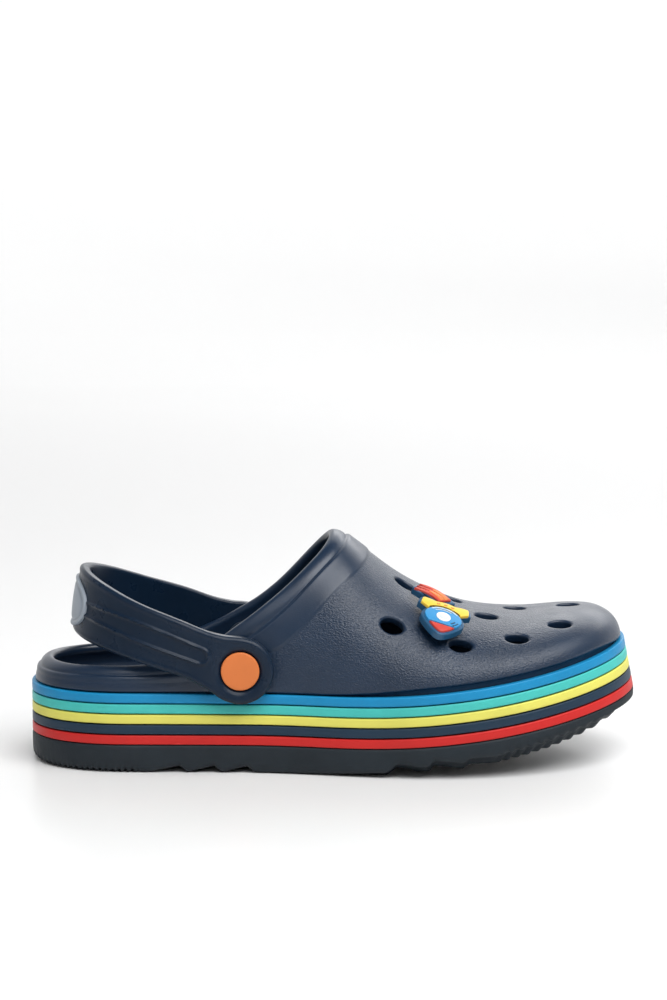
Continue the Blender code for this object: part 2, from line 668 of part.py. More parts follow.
STRAP_HINGE = empty("strap_hinge", (PIVOT_X, 0, PIVOT_Z))
CHARM_HINGE = empty("charm_hinge", (0, 0, 0))
CHARM_HINGE.matrix_world = charm_base_frame()
add_outsole()
for place, (name, colour) in enumerate(BANDS):
    add_band(name, colour, OUTSOLE_TOP + GAP + place * BAND_PITCH)
add_core()
add_shell()
add_strap()
add_badge()
add_rivet("lateral", -1)
add_rivet("medial", 1)
add_charm()
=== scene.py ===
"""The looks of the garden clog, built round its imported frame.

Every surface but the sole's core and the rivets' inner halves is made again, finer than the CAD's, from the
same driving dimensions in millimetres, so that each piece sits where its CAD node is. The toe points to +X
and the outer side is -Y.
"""

import json
import math

import bmesh
import bpy
import numpy as np
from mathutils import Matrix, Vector


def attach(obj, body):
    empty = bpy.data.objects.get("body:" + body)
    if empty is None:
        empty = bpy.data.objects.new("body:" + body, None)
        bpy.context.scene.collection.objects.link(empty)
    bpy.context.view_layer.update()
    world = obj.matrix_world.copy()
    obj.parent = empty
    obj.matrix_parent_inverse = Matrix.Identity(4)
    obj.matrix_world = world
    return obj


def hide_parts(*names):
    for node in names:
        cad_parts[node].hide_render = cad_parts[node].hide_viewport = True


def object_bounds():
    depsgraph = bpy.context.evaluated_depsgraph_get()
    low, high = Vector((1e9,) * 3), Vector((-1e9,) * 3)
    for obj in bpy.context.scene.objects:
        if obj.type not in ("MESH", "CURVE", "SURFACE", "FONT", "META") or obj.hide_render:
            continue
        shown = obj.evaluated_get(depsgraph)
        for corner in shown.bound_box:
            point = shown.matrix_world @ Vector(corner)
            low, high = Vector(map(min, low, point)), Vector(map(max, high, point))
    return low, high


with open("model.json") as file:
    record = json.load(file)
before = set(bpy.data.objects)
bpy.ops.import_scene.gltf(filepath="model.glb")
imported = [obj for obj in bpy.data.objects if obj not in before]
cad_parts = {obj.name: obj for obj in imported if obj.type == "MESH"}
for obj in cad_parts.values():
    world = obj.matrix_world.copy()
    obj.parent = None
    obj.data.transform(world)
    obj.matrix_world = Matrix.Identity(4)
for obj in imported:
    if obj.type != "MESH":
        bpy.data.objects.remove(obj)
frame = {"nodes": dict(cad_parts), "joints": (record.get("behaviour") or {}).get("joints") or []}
CAD_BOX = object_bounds()
MM = 0.001
GAP = 0.3

# Platform
LENGTH = 200.0
HEEL_ROUND, TOE_ROUND = 34.0, 56.0
HEEL_POWER, TOE_POWER = 2.15, 2.25
HALF_WIDTHS = (
    (-100, 30.2), (-66, 30.4), (-38, 31.0), (-18, 31.9), (4, 35.8), (30, 40.7), (50, 41.6), (100, 41.0),
)
CENTRE_LINE = ((-100, 0), (-60, 0), (-30, 0), (5, -1.2), (35, -0.8), (65, 2.2), (100, 6.5))
OUTSOLE_TOP = 9.0
BAND_PITCH, BAND_HEIGHT, BAND_DEPTH = 3.4, 3.0, 2.6
CORE_INSET, CORE_TOP = BAND_DEPTH + GAP, 14.3
TOP_BAND = OUTSOLE_TOP + GAP + 4 * BAND_PITCH
LEDGE = TOP_BAND + BAND_HEIGHT + GAP
# A shadow gap opens under the upper along the forefoot: how tall, where it opens and where it closes
TOE_GROWTH, GROWTH_RAMP, GROWTH_FADE = 1.8, (-6.0, 36.0), (88.0, 102.0)
SPRING_START, SPRING_RADIUS = -4.0, 395.0
ROCKER_START, ROCKER_RADIUS = 8.0, 245.0
EDGE_ROCKER_START, EDGE_ROCKER_RADIUS = -16.0, 350.0
HEEL_EASE_START, HEEL_EASE_RADIUS = -90.0, 60.0
TOE_LEAN = 0.75
NOTCHES = (  # how far the tread is cut up from below, along the shoe
    (-59, 0), (-50, 1.9), (-47.5, 0), (-46.5, 0), (-38.8, 1.9), (-36.3, 0),
    (-35.3, 0), (-28.2, 1.9), (-25.5, 0), (17.3, 0), (20.2, 2.3), (23.6, 2.1),
    (27, 0.9), (31, 0.7), (32.2, 2.6), (41.7, 0.3), (43.9, 1.5), (53, 0.3),
)
TREAD_EDGE_RINGS = (  # inset, lift and share of the notches' depth
    (3, 0.1, 1), (1.2, 0.35, 1), (0.55, 0.7, 1), (0.25, 1.2, 1), (0.12, 2.0, 0.9), (0.05, 3.1, 0.45),
)
SOLE_TOP_RINGS = (  # inset and height
    (0, 6.6), (0, 8.2), (0.12, 8.7), (0.35, OUTSOLE_TOP), (0.9, OUTSOLE_TOP), (4, OUTSOLE_TOP),
)
HEEL_TEETH, TOE_TEETH = (-62.0, 2.2, 0.8), (52.0, 2.9, 0.9)  # where they begin, pitch and depth

# Upper
WALL = 3.4
UPPER_INSET = 1.1
DOME_HEIGHTS = (
    (-100, 17.8), (-62, 15.7), (-50, 23.8), (-33, 49.5), (-18, 49.1), (0, 49.3), (12, 41), (21, 33.3),
    (35, 24.2), (43, 20.2), (55, 16.2), (66, 13.7), (75, 12.7), (88, 12), (100, 12.2),
)
DOME_POWERS = ((-100, 2.0), (0, 2.0), (35, 1.85), (60, 2.1), (100, 2.25))
DOME_PEAK = ((-100, 0), (-10, 0), (25, 3.5), (60, 5), (100, 2))
DOME_TOE_ROUND, DOME_TOE_POWER = 27.0, 2.3
COLLAR_HALF_WIDTHS = ((-96, 27.8), (-62, 26.1), (-45, 28.1), (-30, 28.1), (-13, 25.6), (2, 24.6))
COLLAR_CENTRE = ((-96, 0), (-30, 0.2), (-13, -0.1), (2, -1.6))
COLLAR_REAR, COLLAR_FRONT = -95.4, 0.9
COLLAR_FRONT_ROUND, COLLAR_FRONT_POWER = 29.0, 2.35
COLLAR_RING = (
    (-98.9, -95.4), (-90, -86.8), (-70, -68.5), (-50, -50.5), (-30, -36.5), (-10, -26.5), (10, -19),
    (30, -12.2), (50, -6.6), (70, -2.6), (85, -0.4), (98.9, 0.9),
)
FOOTBED = 19.6
BED_RINGS = (  # inset and rise over the footbed's middle
    (5.1, 4.2), (5.9, 2.9), (7.4, 1.9), (9.5, 1.2), (12, 0.75), (16, 0.4), (21, 0.15), (27, 0),
)
NUB_SECTION = ((1.25, -0.2), (1.1, 0.35), (0.75, 0.6), (0.3, 0.7))  # radius and height of its rings
NUB_BASE, NUB_SIDES = FOOTBED + 0.35, 10
VENT_HALF_LENGTH, VENT_HALF_WIDTH, VENT_FILLET = 3.9, 3.0, 0.7
CENTRE_VENTS = ((24.5, -7.5), (40.5, 3), (62.5, 7), (81, 8.5))
MIDDLE_VENTS = ((34.5, -23.8, 22.2), (52, -9.5, 19.5))  # each on the lateral and the medial side
SIDE_VENTS = ((19.8, -30.1, 28.9), (42.5, -31.8, 31.6), (61.5, -26.1, 30.9), (76.5, -16, 24))
RIM_RINGS = (0, 0.5, 1.1, 1.8, 2.6, 3.3, 3.8, 4.2, 4.6, 5.1, 5.8)  # distances from the collar's edge
PANEL_RINGS = (7, 8.6, 10.2, 11.5, 12.2, 12.7, 13.2, 13.7, 14.6)
PANEL_EDGE = 12.9
VAMP_PACE, REAR_PACE, VAMP_RINGS = 2.1, 3.6, 44

# Heel strap
STRAP_TILT = math.radians(18.3)
STRAP_INNER_HALF, STRAP_REACH, STRAP_STRAIGHT = 32.6, 54.7, 10.0
STRAP_THICK, BOSS_THICK, BOSS_RADIUS = 3.3, 4.3, 10.8
STRAP_UPPER = ((0, 11.4), (20, 10.4), (34, 9.5), (50, 9.2), (58, 8.9), (66, 9.8), (72, 10.4))
STRAP_LOWER = ((0, -9.9), (20, -9.6), (36, -8.7), (48, -8.1), (56, -7.9), (64, -9.2), (70, -10.4))
STRAP_FLARE = 0.19
RIB_CENTRE = ((10, -0.4), (26, 0.8), (46, 1.0), (60, 0.7))  # by arc from the bow
RIB_HALF = ((10, 2.0), (26, 2.5), (36, 2.9), (47, 2.75), (60, 2.4))
RIB_END = 57.6
BADGE_HALF_LENGTH, BADGE_HALF_HEIGHT, BADGE_RISE = 14.6, 8.1, -0.5
STEM_RADIUS, CAP_RADIUS, CAP_THICK = 3.4, 6.2, 1.5
WELL_DEPTH, DISH_DEPTH = 1.9, 0.8
SEAT_FACE, PAD_RADIUS = 25.6, 6.1

# Rocket charm
CHARM_TURN = math.radians(-8)
CHARM_RAISE, PLATE_THICK, PLATE_MARGIN, INLAY_THICK = 2.5, 2.3, 1.1, 0.8
HULL_CENTRE = 1.3, -4.2
HULL_HALF_WIDTH, HULL_RADIUS, HULL_NOSE, HULL_TAPER, NOSE_LINE = 6.2, 5.5, 2.4, 0.3, -4.0
WINDOW_RADIUS, GLASS_RADIUS = 2.4, 1.45
FIN_BAND, FIN_POINT = 3.0, 2.6
NECK_RADIUS, BUTTON_RADIUS, BUTTON_THICK, BUTTON_DEPTH = 2.5, 4.8, 1.8, 4.3

JOINTS = {joint["name"]: joint for joint in frame["joints"]}
PIVOT_X, _, PIVOT_Z = np.array(JOINTS["strap_swivel"]["pos_m"]) / MM


def natural_spline(points):
    """Returns the smoothest function through these (x, value) points."""
    x, y = np.array(points, float).T
    h = np.diff(x)
    n = len(x)
    system, right = np.eye(n), np.zeros(n)
    for i in range(1, n - 1):
        system[i, i - 1 : i + 2] = h[i - 1], 2 * (h[i - 1] + h[i]), h[i]
        right[i] = 6 * ((y[i + 1] - y[i]) / h[i] - (y[i] - y[i - 1]) / h[i - 1])
    second = np.linalg.solve(system, right)

    def value(at):
        at = np.clip(at, x[0], x[-1])
        i = np.clip(np.searchsorted(x, at) - 1, 0, n - 2)
        a, b = x[i + 1] - at, at - x[i]
        cubic = (second[i] * a**3 + second[i + 1] * b**3) / (6 * h[i])
        line_a = (y[i] / h[i] - second[i] * h[i] / 6) * a
        return cubic + line_a + (y[i + 1] / h[i] - second[i + 1] * h[i] / 6) * b

    return value


def rounding(share, power):
    return (1 - np.clip(share, 0, 1) ** power) ** (1 / power)


def ramp(value, start, end):
    """0 before start, 1 after end, with a smooth step between."""
    t = np.clip((value - start) / (end - start), 0, 1)
    return t * t * (3 - 2 * t)


side_width = natural_spline(HALF_WIDTHS)
centre_y = natural_spline(CENTRE_LINE)
dome_ridge = natural_spline(DOME_HEIGHTS)
dome_power = natural_spline(DOME_POWERS)
dome_peak = natural_spline(DOME_PEAK)
collar_width = natural_spline(COLLAR_HALF_WIDTHS)
collar_centre = natural_spline(COLLAR_CENTRE)
collar_reach = natural_spline(COLLAR_RING)
strap_upper = natural_spline(STRAP_UPPER)
strap_lower = natural_spline(STRAP_LOWER)
rib_centre = natural_spline(RIB_CENTRE)
rib_half = natural_spline(RIB_HALF)


def half_width(x, inset):
    end = LENGTH / 2 - inset
    heel = rounding((HEEL_ROUND - inset - end - x) / (HEEL_ROUND - inset), HEEL_POWER)
    toe = rounding((x - end + TOE_ROUND - inset) / (TOE_ROUND - inset), TOE_POWER)
    return (side_width(x) - inset) * heel * toe


def footprint(inset, turn):
    """Closed outline as (x, y) rows for these turn angles: heel tip 0, outer side, toe tip pi, inner side."""
    x = -(LENGTH / 2 - inset) * np.cos(turn)
    side = np.where(turn <= np.pi, -1, 1)
    return np.column_stack([x, centre_y(x) + side * half_width(x, inset)])


def bend(flat):
    """Bends the toe up: the layers rise along the spring's radius and lean back a little."""
    x, y, z = np.asarray(flat, float).T
    run = np.maximum(x - SPRING_START, 0)
    stack = np.clip(z, OUTSOLE_TOP, LEDGE) - OUTSOLE_TOP
    lean = TOE_LEAN * run / SPRING_RADIUS * stack
    growth = TOE_GROWTH * (ramp(x, *GROWTH_RAMP) - ramp(x, *GROWTH_FADE))
    growth = growth * np.clip((z - LEDGE) / GAP + 1, 0, 1)
    return np.column_stack([x - lean, y, z + growth + run**2 / (2 * SPRING_RADIUS)])


def level(outline, z):
    return np.column_stack([outline, np.broadcast_to(np.asarray(z, float), len(outline))])


def dome(x, y):
    """Height of the upper's outer skin over the ledge."""
    heel_span = HEEL_ROUND - UPPER_INSET
    toe_end = LENGTH / 2 - UPPER_INSET
    heel = rounding((-toe_end + heel_span - x) / heel_span, 2.0)
    toe = rounding((x - toe_end + DOME_TOE_ROUND) / DOME_TOE_ROUND, DOME_TOE_POWER)
    width = np.maximum(half_width(x, UPPER_INSET), 1e-6)
    power = dome_power(x)
    away = y - centre_y(x) - dome_peak(x)
    across = np.clip(np.abs(away) / np.maximum(width - np.sign(away) * dome_peak(x), 1e-6), 0, 1)
    return dome_ridge(x) * heel * toe * (1 - across**power) ** (1 / power)


def skin(plan):
    """Points of the upper's outer skin, bent with the sole, over an array of plan positions."""
    flat = np.asarray(plan, float).reshape(-1, 2)
    points = bend(np.column_stack([flat, LEDGE + dome(flat[:, 0], flat[:, 1])]))
    return points.reshape(*np.shape(plan)[:-1], 3)


def skin_frame(x, y):
    """Point, outward normal and the two plan derivatives of the skin over one plan position."""
    step = 0.05
    beside = [(x + step, y), (x - step, y), (x, y + step), (x, y - step)]
    ahead, behind, inner, outer, point = skin(beside + [(x, y)])
    along, across = (ahead - behind) / (2 * step), (inner - outer) / (2 * step)
    normal = np.cross(along, across)
    return point, normal / np.linalg.norm(normal), along, across


def collar(turn):
    """Plan of the foot opening's edge, one point for each point of the footprint."""
    x = collar_reach(footprint(UPPER_INSET, turn)[:, 0])
    rear = rounding((COLLAR_REAR + HEEL_ROUND - x) / HEEL_ROUND, HEEL_POWER)
    front = rounding((x - COLLAR_FRONT + COLLAR_FRONT_ROUND) / COLLAR_FRONT_ROUND, COLLAR_FRONT_POWER)
    side = np.where(turn <= np.pi, -1, 1)
    return np.column_stack([x, collar_centre(x) + side * collar_width(x) * rear * front])


def turns(pace_at, outline=footprint, inset=0.0):
    """Turn angles round the footprint, the same on both sides, spaced as pace_at(x) says in millimetres."""
    dense = np.linspace(0, np.pi, 4001)
    ring = outline(inset, dense)
    step = np.hypot(*np.diff(ring, axis=0).T)
    count = np.append(0, np.cumsum(step / pace_at(ring[1:, 0])))
    half = np.interp(np.linspace(0, count[-1], round(count[-1]) + 1), count, dense)
    return np.concatenate([half, 2 * np.pi - half[-2:0:-1]])


# Meshes


def make(name, points, faces, body, nodes=(), shade=45, attribute=None):
    """A piece from points in millimetres, riding on its CAD body in place of these CAD nodes."""
    mesh = bpy.data.meshes.new(name)
    used = np.zeros(len(points), bool)
    used[[i for face in faces for i in face]] = True
    place = np.cumsum(used) - 1
    corners = (np.asarray(points)[used] * MM).tolist()
    mesh.from_pydata(corners, [], [[int(place[i]) for i in face] for face in faces])
    if attribute:
        layer = mesh.attributes.new(attribute[0], "FLOAT", "POINT")
        layer.data.foreach_set("value", np.asarray(attribute[1], np.float32)[used])
    outward(mesh)
    obj = bpy.data.objects.new(name, mesh)
    bpy.context.scene.collection.objects.link(obj)
    mesh.shade_smooth()
    if shade < 180:
        mesh.set_sharp_from_angle(angle=math.radians(shade))
    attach(obj, body)
    if nodes:
        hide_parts(*nodes)
    return obj


def outward(mesh):
    bm = bmesh.new()
    bm.from_mesh(mesh)
    bmesh.ops.recalc_face_normals(bm, faces=bm.faces)
    bm.to_mesh(mesh)
    bm.free()


def strip_faces(low, high):
    """Quads between two closed rows of vertex numbers."""
    return [(low[i], low[(i + 1) % len(low)], high[(i + 1) % len(low)], high[i]) for i in range(len(low))]


def cross_faces(row):
    """Fills a closed row with strips from one side to the other."""
    n = len(row)
    faces = [(row[0], row[1], row[n - 1])]
    for i in range(1, n // 2):
        corners = list(dict.fromkeys([row[i], row[i + 1], row[n - i - 1], row[n - i]]))
        faces.append(tuple(corners))
    return faces


def lofted(rings, closed=False, caps=cross_faces):
    """Points and faces through rings of equal length."""
    count = len(rings[0])
    rows = [list(range(k * count, (k + 1) * count)) for k in range(len(rings))]
    faces = []
    for low, high in zip(rows, rows[1:] + rows[:1] if closed else rows[1:]):
        faces += strip_faces(low, high)
    if not closed:
        faces += caps(rows[0]) + caps(rows[-1])
    return np.concatenate(rings), faces


def corner(radius, start, end, steps):
    """Offsets round a quarter turn, from the first direction to the second, both (inset, z) pairs."""
    start, end = np.array(start, float), np.array(end, float)
    return [radius * (math.cos(t) * start + math.sin(t) * end) for t in np.linspace(0, np.pi / 2, steps + 1)]


# Materials

WRINKLE_SIZE, WRINKLE_DEPTH = 0.58, 0.27  # of the upper's leather-like grain
PORE_SIZE, PORE_SHARE = 0.4, 0.08


def shader_nodes(name, roughness, specular=0.5):
    material = bpy.data.materials.new(name)
    material.use_nodes = True
    tree = material.node_tree
    shader = tree.nodes["Principled BSDF"]
    shader.inputs["Roughness"].default_value = roughness
    shader.inputs["Specular IOR Level"].default_value = specular
    coords = tree.nodes.new("ShaderNodeTexCoord")
    return material, tree, shader, coords.outputs["Object"]


def noise(tree, vector, size, detail=2.0, distortion=0.0, stretch=None):
    """Noise whose features are about this many millimetres wide."""
    if stretch:
        mapping = tree.nodes.new("ShaderNodeMapping")
        mapping.inputs["Scale"].default_value = stretch
        tree.links.new(vector, mapping.inputs["Vector"])
        vector = mapping.outputs["Vector"]
    node = tree.nodes.new("ShaderNodeTexNoise")
    node.inputs["Scale"].default_value = 1 / (size * MM)
    node.inputs["Detail"].default_value = detail
    node.inputs["Distortion"].default_value = distortion
    tree.links.new(vector, node.inputs["Vector"])
    return node.outputs["Fac"]


def remap(tree, value, low, high, from_low=0.3, from_high=0.7):
    node = tree.nodes.new("ShaderNodeMapRange")
    for socket, number in zip(("From Min", "From Max", "To Min", "To Max"), (from_low, from_high, low, high)):
        node.inputs[socket].default_value = number
    tree.links.new(value, node.inputs["Value"])
    return node.outputs["Result"]


def combine(tree, operation, a, b):
    node = tree.nodes.new("ShaderNodeMath")
    node.operation = operation
    for socket, value in zip(node.inputs, (a, b)):
        if isinstance(value, (int, float)):
            socket.default_value = value
        else:
            tree.links.new(value, socket)
    return node.outputs[0]


def blend_colours(tree, factor, dark, light):
    node = tree.nodes.new("ShaderNodeMix")
    node.data_type = "RGBA"
    for socket, value in ((node.inputs[6], dark), (node.inputs[7], light)):
        if isinstance(value, tuple):
            socket.default_value = (*value, 1)
        else:
            tree.links.new(value, socket)
    tree.links.new(factor, node.inputs[0])
    return node.outputs[2]


def bump(tree, height, depth, shader):
    node = tree.nodes.new("ShaderNodeBump")
    node.inputs["Distance"].default_value = depth * MM
    tree.links.new(height, node.inputs["Height"])
    tree.links.new(node.outputs["Normal"], shader.inputs["Normal"])


def foam(name, colour, roughness=0.5, grain=0.05, grain_size=0.7, mottle=0.1, specular=0.5, wear=0.0):
    """Moulded foam: soft mottling, a finely pitted skin and slightly rubbed edges."""
    material, tree, shader, at = shader_nodes(name, roughness, specular)
    clouds = noise(tree, at, 14, 3)
    pits = noise(tree, at, grain_size, 3)
    dark = tuple(c * (1 - mottle) for c in colour)
    light = tuple(min(1.0, c * (1 + mottle)) for c in colour)
    tint = blend_colours(tree, remap(tree, clouds, 0, 1), dark, light)
    if wear:
        edges = tree.nodes.new("ShaderNodeNewGeometry").outputs["Pointiness"]
        patches = remap(tree, noise(tree, at, 3, 4), 0.3, 1)
        rubbed = combine(tree, "MULTIPLY", remap(tree, edges, 0, wear, 0.53, 0.6), patches)
        tint = blend_colours(tree, rubbed, tint, tuple(min(1.0, c * 1.6 + 0.05) for c in colour))
    tree.links.new(tint, shader.inputs["Base Color"])
    shine = remap(tree, noise(tree, at, 6, 4), roughness - 0.05, roughness + 0.06)
    tree.links.new(shine, shader.inputs["Roughness"])
    bump(tree, pits, grain, shader)
    return material


def grained_foam(name, colour, roughness):
    """The upper's foam: a leather-like grain where the mesh's grain layer says, smooth elsewhere."""
    material, tree, shader, at = shader_nodes(name, roughness, 0.5)
    mask = tree.nodes.new("ShaderNodeAttribute")
    mask.attribute_name = "grain"
    amount = mask.outputs["Fac"]
    clouds = noise(tree, at, 22, 3)
    dark, light = (tuple(c * k for c in colour) for k in (0.88, 1.12))
    tree.links.new(blend_colours(tree, remap(tree, clouds, 0, 1), dark, light), shader.inputs["Base Color"])
    wrinkles = noise(tree, at, WRINKLE_SIZE, 3, 0.4, (0.8, 1, 1.2))
    pores = noise(tree, at, PORE_SIZE, 2)
    shallow = combine(tree, "MULTIPLY", pores, PORE_SHARE)
    height = combine(tree, "ADD", combine(tree, "MULTIPLY", wrinkles, amount), shallow)
    shine = remap(tree, noise(tree, at, 7, 4), roughness - 0.04, roughness + 0.04)
    tree.links.new(shine, shader.inputs["Roughness"])
    bump(tree, height, WRINKLE_DEPTH, shader)
    return material


def paint(obj, material):
    obj.data.materials.clear()
    obj.data.materials.append(material)
    return obj


# Upper


def upper_grid(turn):
    """Plan positions of the outer skin, ring by ring from the collar to the ledge."""
    base, opening = footprint(UPPER_INSET, turn), collar(turn)
    shares = np.cos(np.pi / 2 * np.linspace(1, 0, 501))
    track = skin(opening[None] + (base - opening)[None] * shares[:, None, None])
    steps = np.linalg.norm(np.diff(track, axis=0), axis=2)
    travelled = np.concatenate([np.zeros((1, len(turn))), np.cumsum(steps, axis=0)])
    plan = []
    for c in range(len(turn)):
        length = travelled[-1, c]
        rim = min(1.0, length / 11)
        panel = min(1.0, 0.35 * (length - RIM_RINGS[-1] * rim) / (PANEL_RINGS[-1] - RIM_RINGS[-1]))
        near = [s * rim for s in RIM_RINGS]
        near += [RIM_RINGS[-1] * rim + (s - RIM_RINGS[-1]) * panel for s in PANEL_RINGS]
        lower = np.linspace(near[-1], length - 2.0 * rim, VAMP_RINGS)[1:]
        arc = np.concatenate([near, lower, [length - 1.2 * rim, length - 0.55 * rim]])
        share = np.interp(arc, travelled[:, c], shares)
        plan.append(opening[c] + (base[c] - opening[c]) * share[:, None])
    return np.array(plan).transpose(1, 0, 2)


def ring_places():
    """Each ring's distance from the collar; past the panel only that it is past it."""
    return np.concatenate([RIM_RINGS, PANEL_RINGS, np.full(VAMP_RINGS + 1, 20.0)])[:, None]


def relief(base_x):
    """How far the skin stands out, by ring and column: a rolled rim, then a panel that steps to the vamp."""
    place, vamp = ring_places(), ramp(base_x, -45, -5)[None]
    high = 0.3 + 0.15 * vamp
    rim = 0.2 * np.sin(np.pi * np.clip(place / 3.7, 0, 1)) - 0.2 * np.exp(-(((place - 3.9) / 0.4) ** 2))
    shoulder = high * ramp(place, 3.9, 4.9) + 0.12 * np.exp(-(((place - 5.1) / 0.6) ** 2))
    step = 1 - vamp * ramp(place, PANEL_EDGE - 0.6, PANEL_EDGE + 0.6)
    fade = 1 - (1 - vamp) * ramp(place, 5.5, 14)
    return rim + shoulder * step * fade


def grid_normals(grid):
    around = np.roll(grid, -1, axis=1) - np.roll(grid, 1, axis=1)
    downward = np.gradient(grid, axis=0)
    normal = np.cross(downward, around)
    return normal / np.linalg.norm(normal, axis=2, keepdims=True)


def vent_places():
    places = list(CENTRE_VENTS)
    for x, lateral, medial in MIDDLE_VENTS + SIDE_VENTS:
        places += [(x, lateral), (x, medial)]
    return places


def seat_vent(plan, x, y):
    """Pulls a block of the grid's cells into an oval round a vent, and says which cells they are."""
    point, normal, along, across = skin_frame(x, y)
    right = np.cross((0, 1, 0), normal)
    right /= np.linalg.norm(right)
    ahead = np.cross(normal, right)
    axes = np.array([right, ahead])
    grid = skin(plan)
    j0, c0 = np.unravel_index(np.argmin(np.linalg.norm(grid - point, axis=2)), grid.shape[:2])
    reach = np.array([VENT_HALF_LENGTH, VENT_HALF_WIDTH]) + VENT_FILLET
    wide = np.linalg.norm(grid[j0, c0 + 1] - grid[j0, c0 - 1]) / 2
    tall = np.linalg.norm(grid[j0 + 1, c0] - grid[j0 - 1, c0]) / 2
    a, b = (max(2, round(0.89 * reach.mean() / pace)) for pace in (wide, tall))
    loop = [(j0 - b, c) for c in range(c0 - a, c0 + a)]
    loop += [(j, c0 + a) for j in range(j0 - b, j0 + b)]
    loop += [(j0 + b, c) for c in range(c0 + a, c0 - a, -1)]
    loop += [(j, c0 - a) for j in range(j0 + b, j0 - b, -1)]
    rows, columns = np.array(loop).T
    local = (grid[rows, columns] - point) @ axes.T
    angle = np.unwrap(np.arctan2(local[:, 1], local[:, 0]))
    even = np.sign(angle[-1] - angle[0]) * 2 * np.pi * np.arange(len(loop)) / len(loop)
    angle = 0.25 * angle + 0.75 * (even + np.mean(angle - even))
    target = reach * np.column_stack([np.cos(angle), np.sin(angle)])
    spots = plan[rows, columns].copy()
    slope = np.linalg.inv(axes @ np.column_stack([along, across]))
    for _ in range(12):
        spots += (target - (skin(spots) - point) @ axes.T) @ slope.T
    shift = np.zeros_like(plan)
    shift[rows, columns] = spots - plan[rows, columns]
    fixed = np.zeros(plan.shape[:2], bool)
    fixed[rows, columns] = True
    first = max(len(RIM_RINGS + PANEL_RINGS), j0 - b - 5)
    last = min(len(plan) - 3, j0 + b + 6)
    zone = np.zeros_like(fixed)
    zone[first:last, c0 - a - 5 : c0 + a + 6] = True
    zone[j0 - b : j0 + b + 1, c0 - a : c0 + a + 1] = False
    zone &= ~fixed
    for _ in range(60):
        mean = sum(np.roll(shift, by, axis) for axis in (0, 1) for by in (1, -1)) / 4
        shift[zone] = mean[zone]
    plan += shift
    cells = {(j, c) for j in range(j0 - b, j0 + b) for c in range(c0 - a, c0 + a)}
    return {"loop": loop, "cells": cells, "point": point, "normal": normal, "axes": axes, "angle": angle}


def vent_tube(vent, top, bottom):
    """Rings of a vent's wall between its edge on the outer skin and its edge on the inner one."""
    point, normal, axes = vent["point"], vent["normal"], vent["axes"]
    spoke = np.column_stack([np.cos(vent["angle"]), np.sin(vent["angle"])])
    upper, lower = (top - point) @ normal, (bottom - point) @ normal
    rings = []
    for tilt in (30, 60, 90):
        flare = VENT_FILLET * (1 - math.sin(math.radians(tilt)))
        depth = VENT_FILLET * (1 - math.cos(math.radians(tilt)))
        wall = (spoke * (VENT_HALF_LENGTH + flare, VENT_HALF_WIDTH + flare)) @ axes
        rings.append((point + wall, upper - depth, lower + depth))
    down = [wall + high[:, None] * normal for wall, high, _ in rings]
    middle = rings[-1][0] + ((upper + lower) / 2)[:, None] * normal
    up = [wall + low[:, None] * normal for wall, _, low in rings[::-1]]
    return down + [middle] + up


